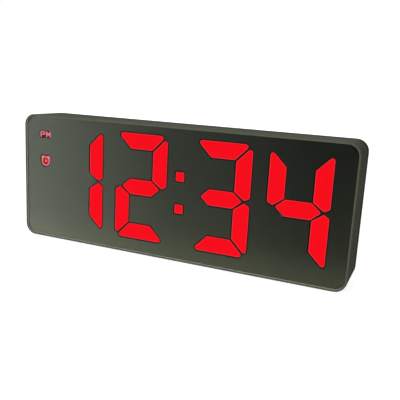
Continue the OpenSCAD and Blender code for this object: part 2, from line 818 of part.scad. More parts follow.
module pm_letters() translate([mark_x - pm_w / 2, pm_z - letter_h / 2]) {
  difference() {
    letter(p_shares);
    letter(p_hole_shares);
  }
  translate([letter_w + letter_space, 0]) letter(m_shares);
}

// A bell clock: its ring with two ears, and its hands
module alarm_figure() translate([mark_x, alarm_z]) {
  line = bell_line_share * alarm_w;
  difference() {
    bell_shape(0);
    circle(bell_ring_share * alarm_w - line);
  }
  translate([-line / 2, -line / 2]) square([line, bell_hand_share * alarm_w]);
  translate([-line / 2, -line / 2]) square([bell_hand_share * alarm_w, line]);
}

// The marks stand a little proud of their tiles
module pm_mark() color("#e0484a") {
  tile_face(film_s + tile_sink + mark_rise) pm_cell(0);
  layer(film_s + tile_sink, mark_rise + tile_sink) pm_letters();
  tile_flange() pm_cell(flange_w);
}

module alarm_mark() color("#e0484a") {
  tile_face(film_s + tile_sink + mark_rise) alarm_cell(0);
  layer(film_s + tile_sink, mark_rise + tile_sink) alarm_figure();
  tile_flange() alarm_cell(flange_w);
}

// The tiles of the strokes that are not lit lie dark behind the film
module idle_strokes() color("#5a2020") {
  tile_face(reflector_s + tile_sink) idle_shapes(0);
  tile_flange() idle_shapes(flange_w);
}

module idle_shapes(d) for (n = [0:3], k = [0:6]) if (len(search(k, lit_strokes(n))) == 0) stroke(n, k, d);

module led(x, z, upright) {
  w = upright ? led_w : led_l;
  h = upright ? led_l : led_w;
  block(x, main_s - led_t, z, w, led_t, h);
}

module red_leds() color("#f4e8b0") {
  for (n = [0:3], q = stroke_signs, e = [-1, 1]) {
    upright = q.x != 0;
    x = digit_xs[n] + q.x * (digit_w - stroke_w) / 2;
    z = display_z + q.y * (upright ? digit_h / 4 : (digit_h - stroke_w) / 2);
    led(x + (upright ? 0 : e * led_step), z + (upright ? e * led_step : 0), upright);
  }
  for (k = [-1, 1]) led(display_x, display_z + k * dot_pitch / 2, false);
  led(mark_x, pm_z, false);
  led(mark_x, alarm_z, false);
}

module main_board() color("#1f5c3a") layer(main_s, main_t) difference() {
  round_rect(body_w - 2 * (wall + board_gap), body_h - 2 * (wall + board_gap), corner_r - wall - board_gap);
  at_posts() circle(d = screw_free_d);
  for (x = screw_xs, z = screw_zs) translate([x, z]) circle(d = screw_free_d);
}

module reflector_screws() color("#b8bac0") for (x = screw_xs, z = screw_zs)
  screw(x, main_back_s + screw_head_t, z, main_t + box_bite, false);

module driver_chip() color("#222222") {
  x = body_w / 2 - chip_right;
  block(x, main_back_s + chip_lift, chip_z, chip_l, chip_t, chip_w);
  for (i = [0:leg_count - 1], k = [-1, 1]) {
    lx = x + (i - (leg_count - 1) / 2) * leg_pitch;
    block(lx, main_back_s, chip_z + k * (chip_w / 2 + leg_reach / 2), leg_w, leg_t, leg_reach);
    block(lx, main_back_s, chip_z + k * chip_w / 2, leg_w, chip_lift + chip_t / 2, 2 * leg_t);
  }
}

module chip_resistors() color("#303030") for (i = [0:resistor_count - 1])
  block(body_w / 2 - chip_right + (i - (resistor_count - 1) / 2) * resistor_pitch, main_back_s, resistor_z,
    resistor_size.x, resistor_size.z, resistor_size.y);

// Storage capacitor, lying on the board above the control board
module capacitor() color("#2b3a55") difference() {
  s = main_back_s + solder_gap + can_d / 2;
  z = body_h / 2 - can_top;
  rod(can_x, s, z, can_d, can_l);
  at(can_x + can_groove, s, z) rotate([0, 90, 0]) difference() {
    cylinder(d = can_d + overrun, h = can_groove / 2);
    cylinder(d = can_d - 2 * can_sleeve, h = can_groove / 2);
  }
}

module clock_crystal() color("#c8c8cc")
  rod(crystal_x, main_back_s + solder_gap + crystal_d / 2, crystal_z, crystal_d, crystal_l);

// Pin header between the two boards
module board_link() color("#1c1c1c") {
  x = control_right - link_inset;
  block(x, main_back_s, control_z, link_w, link_base_t, link_count * link_pitch);
  for (i = [0:link_count - 1])
    block(x, main_back_s, control_z + (i - (link_count - 1) / 2) * link_pitch,
      link_pin_w, control_s - main_back_s, link_pin_w);
}

module control_board() color("#1f5c3a") layer(control_s, control_t) difference() {
  translate([control_x, control_z]) square([control_w, control_h], center = true);
  at_board_bosses() circle(d = screw_free_d);
  for (x = slide_leg_xs) translate([x, slide_z])
    square([slide_leg_w + 2 * solder_gap, leg_t + 2 * solder_gap], center = true);
}

module control_screws() color("#b8bac0") for (i = [-1, 1], k = [-1, 1])
  screw(control_x + i * (control_w / 2 - board_boss_inset), control_s - screw_head_t,
    control_z + k * (control_h / 2 - board_boss_inset), control_t + short_bite, true);

// The fixed bodies of the three push switches
module push_switches() color("#2a2a2a") for (x = button_xs) difference() {
  union() {
    block(x, control_back_s, buttons_z, push_w, push_t, push_w);
    for (k = [-1, 1])
      block(x, control_back_s, buttons_z + k * push_w / 4,
        push_w + 2 * push_leg_reach, push_leg_t, push_leg_w);
  }
  peg(x, plunger_top_s - plunger_proud - plunger_hold - button_travel - plunger_gap, buttons_z,
    plunger_d + 2 * plunger_gap, push_t);
}

module plunger(x) color("#101010")
  peg(x, push_top_s - plunger_hold, buttons_z, plunger_d, plunger_hold + plunger_proud);

module set_plunger() plunger(button_xs[0]);
module up_plunger() plunger(button_xs[1]);
module down_plunger() plunger(button_xs[2]);

// A button: cap, collar under the cover, and a sign cut into its face
module button(x) color("#2e3028") difference() {
  r = button_d / 2;
  collar_t = flange_top_s - plunger_top_s;
  h = body_d - button_sink - plunger_top_s;
  at(x, plunger_top_s, buttons_z) rotate([-90, 0, 0]) rotate_extrude() polygon([
    [0, 0], [r + button_flange, 0], [r + button_flange, collar_t], [r, collar_t],
    [r, h - button_bevel], [r - button_bevel, h], [0, h]
  ]);
  layer(body_d - button_sink - mark_depth, body_d) translate([x, buttons_z]) children();
}

module set_button() button(button_xs[0]) difference() {
  circle(d = button_mark_share * button_d);
  circle(d = button_mark_share * button_d - 2 * mark_w);
}

module up_button() button(button_xs[1]) for (a = [0, 90]) rotate(a)
  square([button_mark_share * button_d, mark_w], center = true);

module down_button() button(button_xs[2]) square([button_mark_share * button_d, mark_w], center = true);

module slide_switch() color("#a9adb3") difference() {
  union() {
    block(slide_x, control_back_s, slide_z, slide_body.x, slide_body.y, slide_body.z);
    for (x = slide_leg_xs)
      block(x, control_s - leg_reach, slide_z, slide_leg_w, leg_reach + control_t + slide_body.y / 2, leg_t);
  }
  block(slide_x, control_back_s + slide_body.y - knob_stem_hold - move_gap, slide_z,
    knob_stem_w + knob_travel + 2 * move_gap, push_t, slide_slot_h);
}

// The knob lies at the left end of its travel, seen from the front
module switch_knob() color("#1b1c19") {
  x = slide_x - knob_travel / 2;
  base_s = control_back_s + slide_body.y + knob_base_gap;
  block(x, base_s - knob_base_gap - knob_stem_hold, slide_z,
    knob_stem_w, knob_base_gap + knob_stem_hold + knob_base_t / 2, knob_stem_h);
  block(x, base_s, slide_z, knob_w + knob_travel + 2 * (move_gap + knob_base_lap), knob_base_t,
    knob_h + 2 * (move_gap + knob_base_lap) - knob_base_lap);
  block(x, base_s, slide_z, knob_w, body_d - knob_sink - rib_rise - base_s, knob_h);
  for (i = [-1:1]) block(x + i * rib_pitch, base_s, slide_z, rib_w, body_d - knob_sink - base_s, knob_h);
}

// The socket's outline, with its two lower corners cut off, drawn in by an inset
module socket_outline(inset) {
  w = socket_w / 2 - inset;
  h = socket_h / 2 - inset;
  translate([socket_x, slide_z])
    polygon([
      [-w, h], [-w, socket_cut - h], [socket_cut - w, -h],
      [w - socket_cut, -h], [w, socket_cut - h], [w, h]
    ]);
}

module power_socket_shell() color("#c4c6ca")
  layer(control_back_s, body_d - socket_sink - control_back_s) difference() {
    socket_outline(0);
    socket_outline(socket_wall);
  }

module power_socket_tongue() color("#111111") {
  layer(control_back_s, socket_base_t) socket_outline(socket_wall);
  block(socket_x, control_back_s, slide_z,
    tongue_w, body_d - socket_sink - tongue_sink - control_back_s, tongue_t);
}

// Microphone capsule on two stiff leads, held in a ring of the rear cover
module microphone() color("#9a9da2") {
  difference() {
    peg(mic_x, plate_s - fit_gap - mic_t, slide_z, mic_d, mic_t);
    peg(mic_x, plate_s - fit_gap - mic_felt_t, slide_z, mic_felt_d, mic_felt_t + overrun);
  }
  for (k = [-1, 1]) peg(mic_x + k * mic_pin_space / 2, control_back_s, slide_z, mic_pin_d,
    plate_s - fit_gap - mic_t / 2 - control_back_s);
}

module sounder() color("#1d1d1d") difference() {
  peg(sounder_x, control_back_s, sounder_z, sounder_d, plate_s - move_gap - control_back_s);
  peg(sounder_x, plate_s - move_gap - sounder_mouth_t, sounder_z, sounder_mouth_d, sounder_mouth_t + overrun);
}

// Cells lie side by side and face opposite ways in turn; the first one's button is to the right
function cell_faces_right(i) = i % 2 == 0;

module battery_cells() color("#3d7a4a") for (i = [0:cell_count - 1])
  at(bay_x, cell_s, cell_zs[i]) mirror([cell_faces_right(i) ? 0 : 1, 0, 0])
    translate([bay_l / 2 - contact_t - contact_nub_t, 0, 0]) rotate([0, -90, 0]) {
      cylinder(d = nub_d, h = nub_l + 2 * cell_bevel);
      translate([0, 0, nub_l]) cylinder(d1 = cell_d - 2 * cell_bevel, d2 = cell_d, h = cell_bevel);
      translate([0, 0, nub_l + cell_bevel]) cylinder(d = cell_d, h = cell_l - nub_l - cell_bevel);
    }

// A contact plate at one end of the bay, from cell i to cell j
module contact_plate(right, i, j) {
  z = (cell_zs[i] + cell_zs[j]) / 2;
  x = right ? bay_right - contact_t / 2 : bay_left + contact_t / 2;
  block(x, cell_s - contact_w / 2, z, contact_t, contact_w, contact_w + cell_zs[i] - cell_zs[j]);
  for (k = [i:j]) if (cell_faces_right(k) == right)
    rod(right ? bay_right - contact_t - contact_nub_t : bay_left, cell_s, cell_zs[k],
      contact_nub_d, contact_t + contact_nub_t);
}

module solder_tab(x, z) at(x, tab_s, z - tab_w / 2)
  cube([bay_wall + tab_reach + contact_t, contact_t, tab_w]);

module battery_contacts() color("#d4d0c4") {
  contact_plate(false, 0, 0);
  contact_plate(false, 1, 2);
  contact_plate(true, 0, 1);
  contact_plate(true, 2, 2);
  solder_tab(bay_left - bay_wall - tab_reach, cell_zs[0]);
  solder_tab(bay_right - contact_t, cell_zs[2]);
}

// The contact springs, as the hollow cones that their turns fill
module battery_springs() color("#d4d0c4") for (i = [0:cell_count - 1])
  at(bay_x, cell_s, cell_zs[i]) mirror([cell_faces_right(i) ? 0 : 1, 0, 0])
    translate([contact_t - bay_l / 2, 0, 0]) rotate([0, 90, 0]) difference() {
      cylinder(d1 = spring_big_d, d2 = spring_small_d, h = spring_l);
      cylinder(d1 = spring_big_d - 2 * spring_wall, d2 = spring_small_d - 2 * spring_wall, h = spring_l);
    }

// A wire from a solder tab, bent once to the main board
module lead(x, z, side) {
  s = tab_s + contact_t / 2;
  rod(side > 0 ? x : x - lead_run, s, z, lead_d, lead_run);
  at(x + side * lead_run, s, z) sphere(d = lead_d);
  peg(x + side * lead_run, main_back_s, z, lead_d, s - main_back_s);
}

module red_lead() color("#c02020") lead(bay_right + bay_wall + tab_reach, cell_zs[2], 1);
module black_lead() color("#181818") lead(bay_left - bay_wall - tab_reach, cell_zs[0], -1);

// Battery door: it swings on two hooks along its top edge
module battery_door() color("#373a30") {
  difference() {
    layer(door_in_s, door_t) translate([bay_x, 0]) round_rect(door_l, door_h, recess_r - move_gap);
    // the slits that free the latch
    for (k = [-1, 1]) layer(door_in_s - overrun, body_d)
      translate([bay_x + k * (catch_w + slit_w) / 2, slit_l / 2 - door_h / 2])
        square([slit_w, slit_l + slit_w / 2], center = true);
    // grooves that give a fingertip a hold
    layer(body_d - grip_d, body_d) for (i = [0:grip_count - 1])
      translate([bay_x, i * grip_pitch + grip_w - door_h / 2 + slit_l])
        square([grip_l, grip_w], center = true);
  }
  for (k = [-1, 1]) {
    hook_s = plate_s - move_gap - hook_t;
    block(bay_x + k * hook_spread, hook_s, door_h / 2 - hook_root / 2,
      hook_w, door_in_s - hook_s + door_t / 2, hook_root);
    block(bay_x + k * hook_spread, hook_s, door_h / 2 + (hook_reach - hook_root) / 2,
      hook_w, hook_t, hook_reach + hook_root);
  }
  block(bay_x, door_in_s - catch_t, move_gap + catch_h / 2 - bay_h / 2,
    catch_w, catch_t + door_t / 2, catch_h);
}

module case_screws() color("#8d9096") for (i = [-1, 1], k = [-1, 1])
  screw(i * post_x, screw_seat_s + screw_head_t, k * post_z, screw_seat_t + main_t + screw_bite, false);

module rubber_feet() color("#1a1a1a") for (i = [-1, 1], s = foot_ss)
  translate([i * (body_w / 2 - foot_inset), s - body_d / 2, 0]) {
    rotate_extrude() polygon([
      [0, 0], [foot_d / 2 - foot_bevel, 0], [foot_d / 2, foot_bevel],
      [foot_d / 2, foot_proud + foot_hold], [0, foot_proud + foot_hold]
    ]);
  }

front_housing();
rear_cover();
front_lens();
mirror_film();
panel_tape();
reflector();
digit_1();
digit_2();
digit_3();
digit_4();
colon_dots();
pm_mark();
alarm_mark();
idle_strokes();
red_leds();
main_board();
reflector_screws();
driver_chip();
chip_resistors();
capacitor();
clock_crystal();
board_link();
control_board();
control_screws();
push_switches();
set_plunger();
up_plunger();
down_plunger();
set_button();
up_button();
down_button();
slide_switch();
switch_knob();
power_socket_shell();
power_socket_tongue();
microphone();
sounder();
battery_cells();
battery_contacts();
battery_springs();
red_lead();
black_lead();
battery_door();
case_screws();
rubber_feet();
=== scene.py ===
"""Looks of the table clock: finishes, cells, springs, light and camera around the fixed frame."""

import logging
import math
from dataclasses import dataclass
from enum import Enum

import bmesh
import bpy
from mathutils import Matrix, Vector


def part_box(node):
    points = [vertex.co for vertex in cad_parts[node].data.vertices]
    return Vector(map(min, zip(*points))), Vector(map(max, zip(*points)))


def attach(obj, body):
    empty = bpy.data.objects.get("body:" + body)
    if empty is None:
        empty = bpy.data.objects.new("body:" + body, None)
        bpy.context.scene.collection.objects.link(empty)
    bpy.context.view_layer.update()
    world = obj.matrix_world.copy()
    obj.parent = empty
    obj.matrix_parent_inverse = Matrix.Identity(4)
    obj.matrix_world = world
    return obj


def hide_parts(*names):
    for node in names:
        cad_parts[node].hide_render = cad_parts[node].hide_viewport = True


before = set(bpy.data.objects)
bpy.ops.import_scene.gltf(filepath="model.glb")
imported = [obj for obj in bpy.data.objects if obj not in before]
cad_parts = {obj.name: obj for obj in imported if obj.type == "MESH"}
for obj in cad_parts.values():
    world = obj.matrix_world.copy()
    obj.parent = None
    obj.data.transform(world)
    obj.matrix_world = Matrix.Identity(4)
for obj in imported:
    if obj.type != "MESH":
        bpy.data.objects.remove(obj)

MM = 0.001
LOG = logging.getLogger("table_clock")

Tree = bpy.types.NodeTree
Socket = bpy.types.NodeSocket

# nearly all values of a noise lie between these
NOISE_SPAN = (0.3, 0.7)
# a face whose normal has more than this along an axis counts as square to it
SQUARE_ON = 0.9
# on turned and wound shapes, edges that bend more than this look sharp
SHARP_DEG = 35
# a mix node's output and setting for colours
COLOUR_MIX = {"out": "Result_Color", "data_type": "RGBA"}
# plastic whose own colour hardly shows beside the light behind it
LIT_BODY = {"Base Color": "#140103", "Roughness": 0.6, "Specular IOR Level": 0.0}


def linear(code: str) -> tuple[float, float, float, float]:
    """Turns an sRGB colour into linear light.

    Args:
        code: A hash mark and six hex digits.

    Returns:
        Red, green, blue and full opacity.
    """
    parts = [int(code[i:i + 2], 16) / 255 for i in (1, 3, 5)]
    light = [c / 12.92 if c <= 0.04045 else ((c + 0.055) / 1.055) ** 2.4 for c in parts]
    return (light[0], light[1], light[2], 1.0)


def socket(sockets: bpy.types.bpy_prop_collection, key: str | int) -> Socket:
    """Finds a socket of a node.

    Args:
        sockets: A node's inputs or outputs.
        key: The socket's place, identifier or name.

    Returns:
        The socket.
    """
    if isinstance(key, int):
        return sockets[key]
    named = [s for s in sockets if s.identifier == key]
    return named[0] if named else sockets[key]


def add_node(
    tree: Tree, kind: str, feeds: dict | list | None = None, out: str | int = 0,
    stops: list | None = None, **settings
) -> Socket | None:
    """Adds a node with its settings and links.

    Args:
        tree: The node tree.
        kind: The node's type, without the word ShaderNode.
        feeds: A value, hex colour or socket for each input, by name or in the order of those in use.
        out: The output that is wanted.
        stops: For a colour ramp, its places and colours.
        settings: Properties of the node.

    Returns:
        The wanted output, if the node has any.
    """
    node = tree.nodes.new("ShaderNode" + kind)
    for name, value in settings.items():
        setattr(node, name, value)
    if isinstance(feeds, list):
        pairs = zip([s for s in node.inputs if s.enabled], feeds)
    else:
        pairs = [(socket(node.inputs, name), value) for name, value in (feeds or {}).items()]
    for target, value in pairs:
        if isinstance(value, Socket):
            tree.links.new(value, target)
        else:
            target.default_value = linear(value) if isinstance(value, str) else value
    if stops:
        elements = node.color_ramp.elements
        while len(elements) < len(stops):
            elements.new(1.0)
        for element, (place, colour) in zip(elements, stops):
            element.position = place
            element.color = linear(colour)
    return socket(node.outputs, out) if len(node.outputs) else None


class Axis(Enum):
    """The axes of the frame, as the names of a separated vector's outputs."""

    ACROSS = "X"
    DEPTH = "Y"
    UP = "Z"


class Slot(Enum):
    """Slot names, one of which each finish carries."""

    HOUSING = "housing_plastic"
    COVER = "cover_plastic"
    CLEAR = "clear_panel"
    FILM = "mirror_film"
    TAPE = "tape"
    BOX = "light_box"
    LIT = "lit_tile"
    IDLE = "idle_tile"
    LED = "led"
    BOARD = "board"
    SCREW = "screw_steel"
    CHIP = "chip_black"
    SLEEVE = "can_sleeve"
    CRYSTAL = "crystal_can"
    CONTACT = "contact_metal"
    CELL = "cell_wrap"
    RED_WIRE = "red_wire"
    BLACK_WIRE = "black_wire"
    DOOR = "door_plastic"
    BUTTON = "button_plastic"
    KNOB = "knob_plastic"
    SWITCH = "switch_metal"
    SHELL = "socket_metal"
    TONGUE = "socket_plastic"
    MICROPHONE = "mic_can"
    RUBBER = "foot_rubber"


def per_mm(size_mm: float) -> float:
    """A pattern's scale, from its real size in millimetres."""
    return 1 / (size_mm * MM)


def off_line(tree: Tree, spot: Socket, middle_mm: tuple[float, float]) -> Socket:
    """How far a point lies from a line that runs straight back.

    Args:
        tree: The node tree.
        spot: The point.
        middle_mm: Where the line lies, across and up.

    Returns:
        The distance.
    """
    flat = add_node(tree, "VectorMath", [spot, (1.0, 0.0, 1.0)], operation="MULTIPLY")
    middle = (middle_mm[0] * MM, 0.0, middle_mm[1] * MM)
    return add_node(tree, "VectorMath", [flat, middle], out="Value", operation="DISTANCE")


def roughened(tree: Tree, size_mm: float, depth_mm: float, detail: float = 2.0) -> tuple[Socket, Socket]:
    """Gives a face the relief of a noise.

    Args:
        tree: The node tree.
        size_mm: Size of the noise's lumps.
        depth_mm: Their depth.
        detail: How many finer noises it adds.

    Returns:
        The noise and the normal.
    """
    spot = add_node(tree, "TexCoord", out="Object")
    feeds = {"Vector": spot, "Scale": per_mm(size_mm), "Detail": detail}
    noise = add_node(tree, "TexNoise", feeds, out="Fac")
    return noise, add_node(tree, "Bump", {"Height": noise, "Distance": depth_mm * MM})


@dataclass(frozen=True)
class Finish:
    """What all finishes share: a name for the material, and a slot's name."""

    name: str
    slot: Slot

    def material(self) -> bpy.types.Material:
        """Makes the material on first use.

        Returns:
            The material.
        """
        known = bpy.data.materials.get(self.name)
        if known:
            return known
        made = bpy.data.materials.new(self.name)
        made.use_nodes = True
        made.node_tree.nodes.clear()
        shader = add_node(made.node_tree, "BsdfPrincipled", self.feeds(made.node_tree), out="BSDF")
        add_node(made.node_tree, "OutputMaterial", {"Surface": shader})
        return made

    def feeds(self, tree: Tree) -> dict:
        """What each finish gives its shader.

        Args:
            tree: The node tree.

        Returns:
            The shader's inputs by name.
        """
        raise NotImplementedError


@dataclass(frozen=True)
class MouldedPlastic(Finish):
    """ABS or a like plastic from a spark-eroded mould: a soft satin sheen broken by a fine grain."""

    # its two close tones, and the tone of worn edges
    colour: str
    light_colour: str
    edge_colour: str = "#6a6e62"
    roughness: float = 0.45
    # how far the gloss strays either way with the grain
    gloss_swing: float = 0.05
    # a deeply grained face, which traps light, has less than the usual 0.5
    shine: float = 0.5
    # the real grain is about 0.1 mm, too fine to show, so it is drawn coarser
    grain_mm: float = 0.8
    grain_depth_mm: float = 0.02
    # slow changes of tone, as the flow of the plastic leaves them
    flow_mm: float = 18.0
    # moulded edges are a little round, and handling polishes them paler
    edge_mm: float = 0.25
    # cosine between the rounded and the true normal where wear starts, and where it is full
    wear_span: tuple[float, float] = (0.98, 0.75)
    wear: float = 0.5
    # off-white paint lies on floors that are sunk to this depth in the frame, if any are
    floor_mm: float | None = None
    floor_reach_mm: float = 0.06
    paint_colour: str = "#c9cabf"

    def feeds(self, tree: Tree) -> dict:
        """Grain in relief, a faint mottle in colour and gloss, worn edges, and paint in sunk signs.

        Args:
            tree: The node tree.

        Returns:
            The shader's inputs by name.
        """
        spot = add_node(tree, "TexCoord", out="Object")
        fine = add_node(tree, "TexNoise", {"Vector": spot, "Scale": per_mm(self.grain_mm)}, out="Fac")
        slow = add_node(tree, "TexNoise", {"Vector": spot, "Scale": per_mm(self.flow_mm)}, out="Fac")
        flow = add_node(tree, "MapRange", [slow, *NOISE_SPAN, 0.0, 1.0])
        tone = add_node(tree, "Mix", [flow, self.colour, self.light_colour], **COLOUR_MIX)
        soft = add_node(tree, "Bevel", [self.edge_mm * MM], samples=4)
        true = add_node(tree, "NewGeometry", out="Normal")
        square = add_node(tree, "VectorMath", [soft, true], out="Value", operation="DOT_PRODUCT")
        worn = add_node(tree, "MapRange", [square, *self.wear_span, 0.0, self.wear])
        gloss = add_node(tree, "MapRange", [
            fine, *NOISE_SPAN, self.roughness - self.gloss_swing, self.roughness + self.gloss_swing,
        ])
        depth = self.grain_depth_mm * MM
        relief = add_node(tree, "Bump", {"Height": fine, "Distance": depth, "Normal": soft})
        if self.floor_mm is not None:
            tone = self.painted(tree, tone)
        colour = add_node(tree, "Mix", [worn, tone, self.edge_colour], **COLOUR_MIX)
        return {
            "Base Color": colour, "Roughness": gloss, "Normal": relief, "Specular IOR Level": self.shine,
        }

    def painted(self, tree: Tree, tone: Socket) -> Socket:
        """Paints the floors that face back at the signs' depth.

        Args:
            tree: The node tree.
            tone: The plastic's colour.

        Returns:
            The colour with the paint.
        """
        spot = add_node(tree, "TexCoord", out="Object")
        facing = add_node(tree, "TexCoord", out="Normal")
        depth = add_node(tree, "SeparateXYZ", [spot], out=Axis.DEPTH.value)
        back = add_node(tree, "SeparateXYZ", [facing], out=Axis.DEPTH.value)
        floor, reach = self.floor_mm * MM, self.floor_reach_mm * MM
        level = add_node(tree, "Math", [depth, floor, reach], operation="COMPARE")
        square = add_node(tree, "Math", [back, SQUARE_ON], operation="GREATER_THAN")
        share = add_node(tree, "Math", [level, square], operation="MULTIPLY")
        return add_node(tree, "Mix", [share, tone, self.paint_colour], **COLOUR_MIX)


@dataclass(frozen=True)
class PolishedAcrylic(Finish):
    """Acrylic sheet with a polished face: clear, with a thin sharp gloss."""

    colour: str = "#0c0e0b"
    roughness: float = 0.03
    alpha: float = 0.02

    def feeds(self, tree: Tree) -> dict:
        """A see-through glossy sheet.

        Args:
            tree: The node tree.

        Returns:
            The shader's inputs by name.
        """
        return {"Base Color": self.colour, "Roughness": self.roughness, "Alpha": self.alpha}


@dataclass(frozen=True)
class SawnEdge(Finish):
    """The sawn edge of the acrylic: frosted and paler than the sheet, with a painted glow for the light that
    it gathers.
    """

    colour: str = "#dfe5da"
    # painted glow, standing in for light that enters through the faces and comes out here
    painted_glow: str = "#62665c"
    roughness: float = 0.6
    # distance between the saw's marks, drawn coarser than the real 0.1 mm
    saw_mm: float = 0.6
    saw_depth_mm: float = 0.02

    def feeds(self, tree: Tree) -> dict:
        """A matt edge with saw marks and a painted glow.

        Args:
            tree: The node tree.

        Returns:
            The shader's inputs by name.
        """
        _, relief = roughened(tree, self.saw_mm, self.saw_depth_mm)
        return {
            "Base Color": self.colour, "Roughness": self.roughness, "Normal": relief,
            # the emission is the painted glow of the edge
            "Emission Color": self.painted_glow, "Emission Strength": 1.0,
        }


@dataclass(frozen=True)
class MirrorFilm(Finish):
    """Polyester film with a thin vapour-deposited metal layer: a dark mirror with a green cast."""

    colour: str = "#72786c"
    roughness: float = 0.09
    # slow waves, as a laminated film has
    wave_mm: float = 30.0
    wave_depth_mm: float = 0.01

    def feeds(self, tree: Tree) -> dict:
        """A metal of low reflectance whose face waves a little.

        Args:
            tree: The node tree.

        Returns:
            The shader's inputs by name.
        """
        _, relief = roughened(tree, self.wave_mm, self.wave_depth_mm, detail=0.0)
        return {"Base Color": self.colour, "Metallic": 1.0, "Roughness": self.roughness, "Normal": relief}


@dataclass(frozen=True)
class LitDiffuser(Finish):
    """Frosted polystyrene lit red from behind: an even glow with the faint cloud of the frosting."""

    colour: str = "#fa0d1c"
    deep_colour: str = "#f00b19"
    glow: float = 1.054
    # the frosting's grains are finer than this, which still shows
    cloud_mm: float = 1.5

    def feeds(self, tree: Tree) -> dict:
        """Two close tones of glow that follow a soft noise.

        Args:
            tree: The node tree.

        Returns:
            The shader's inputs by name.
        """
        spot = add_node(tree, "TexCoord", out="Object")
        cloud = add_node(tree, "TexNoise", {"Vector": spot, "Scale": per_mm(self.cloud_mm)}, out="Fac")
        tone = add_node(tree, "Mix", [cloud, self.deep_colour, self.colour], **COLOUR_MIX)
        return LIT_BODY | {"Emission Color": tone, "Emission Strength": self.glow}


@dataclass(frozen=True)
class LitMark(Finish):
    """A printed tile with a clear figure: the figure glows pale, its core red, and the rest stays dark."""

    tile_colour: str = "#66121a"
    core_colour: str = "#c01320"
    figure_colour: str = "#e28c8e"
    glow: float = 0.97
    # depths of the figure's face and the tile's face
    figure_mm: float = 0.0
    tile_mm: float = 0.0
    # middle of the core, across and up, and its radius
    middle_mm: tuple[float, float] = (0.0, 0.0)
    core_mm: float = 0.0

    def feeds(self, tree: Tree) -> dict:
        """The colour follows the point's depth, and its distance from the core's middle.

        Args:
            tree: The node tree.

        Returns:
            The shader's inputs by name.
        """
        spot = add_node(tree, "TexCoord", out="Object")
        depth = add_node(tree, "SeparateXYZ", [spot], out=Axis.DEPTH.value)
        raised = add_node(tree, "MapRange", [depth, self.tile_mm * MM, self.figure_mm * MM, 0.0, 1.0])
        off = off_line(tree, spot, self.middle_mm)
        core = add_node(tree, "Math", [off, self.core_mm * MM], operation="LESS_THAN")
        ground = add_node(tree, "Mix", [core, self.tile_colour, self.core_colour], **COLOUR_MIX)
        colour = add_node(tree, "Mix", [raised, ground, self.figure_colour], **COLOUR_MIX)
        return LIT_BODY | {"Emission Color": colour, "Emission Strength": self.glow}


@dataclass(frozen=True)
class PlatedMetal(Finish):
    """Plated sheet, wire or can: bright, with fine drawn lines and a cloudy gloss."""

    colour: str = "#b9bac0"
    roughness: float = 0.3
    gloss_swing: float = 0.08
    # the lines of drawing and stamping are finer than this, which still shows
    line_mm: float = 0.5
    line_depth_mm: float = 0.004

    def feeds(self, tree: Tree) -> dict:
        """Metal with a fine relief and uneven gloss.

        Args:
            tree: The node tree.

        Returns:
            The shader's inputs by name.
        """
        fine, relief = roughened(tree, self.line_mm, self.line_depth_mm, detail=3.0)
        gloss = add_node(tree, "MapRange", [
            fine, *NOISE_SPAN, self.roughness - self.gloss_swing, self.roughness + self.gloss_swing,
        ])
        return {"Base Color": self.colour, "Metallic": 1.0, "Roughness": gloss, "Normal": relief}


@dataclass(frozen=True)
class TippedPlastic(Finish):
    """Moulded epoxy or nylon with tinned metal at its ends: matt black, with bright tips or cap."""

    axis: Axis
    # the metal starts this far from the middle, both ways
    middle_mm: float
    reach_mm: float
    colour: str = "#1b1b1d"
    roughness: float = 0.55
    metal_colour: str = "#c6c7c9"
    metal_roughness: float = 0.3
    grain_mm: float = 0.3
    grain_depth_mm: float = 0.01

    def feeds(self, tree: Tree) -> dict:
        """Plastic in the middle, metal beyond.

        Args:
            tree: The node tree.

        Returns:
            The shader's inputs by name.
        """
        spot = add_node(tree, "TexCoord", out="Object")
        place = add_node(tree, "SeparateXYZ", [spot], out=self.axis.value)
        middle, reach = self.middle_mm * MM, self.reach_mm * MM
        inside = add_node(tree, "Math", [place, middle, reach], operation="COMPARE")
        colour = add_node(tree, "Mix", [inside, self.metal_colour, self.colour], **COLOUR_MIX)
        metal = add_node(tree, "Math", [1.0, inside], operation="SUBTRACT")
        gloss = add_node(tree, "MapRange", [metal, 0.0, 1.0, self.roughness, self.metal_roughness])
        _, relief = roughened(tree, self.grain_mm, self.grain_depth_mm)
        return {"Base Color": colour, "Metallic": metal, "Roughness": gloss, "Normal": relief}


@dataclass(frozen=True)
class SolderMask(Finish):
    """Glass-epoxy board under green solder mask: glossy, with copper tracks as paler raised lines."""

    colour: str = "#173f29"
    track_colour: str = "#25603c"
    roughness: float = 0.28
    # distance between tracks, of which a track takes a third
    track_mm: float = 1.27
    # size of the areas in which tracks run
    area_mm: float = 11.0
    track_depth_mm: float = 0.035

    def feeds(self, tree: Tree) -> dict:
        """Tracks across and up in different areas of the board.

        Args:
            tree: The node tree.

        Returns:
            The shader's inputs by name.
        """
        spot = add_node(tree, "TexCoord", out="Object")
        area = add_node(tree, "TexVoronoi", {"Vector": spot, "Scale": per_mm(self.area_mm)}, out="Color",
                        distance="CHEBYCHEV")
        choice = add_node(tree, "SeparateXYZ", [area], out="X")
        upright = add_node(tree, "Math", [choice, 0.5], operation="GREATER_THAN")
        across = add_node(tree, "SeparateXYZ", [spot], out=Axis.ACROSS.value)
        up = add_node(tree, "SeparateXYZ", [spot], out=Axis.UP.value)
        run = add_node(tree, "Mix", [upright, across, up])
        wave = add_node(tree, "Math", [run, self.track_mm * MM / 2], operation="PINGPONG")
        line = add_node(tree, "Math", [wave, self.track_mm * MM / 3], operation="GREATER_THAN")
        colour = add_node(tree, "Mix", [line, self.colour, self.track_colour], **COLOUR_MIX)
        relief = add_node(tree, "Bump", {"Height": line, "Distance": self.track_depth_mm * MM})
        return {"Base Color": colour, "Roughness": self.roughness, "Normal": relief}


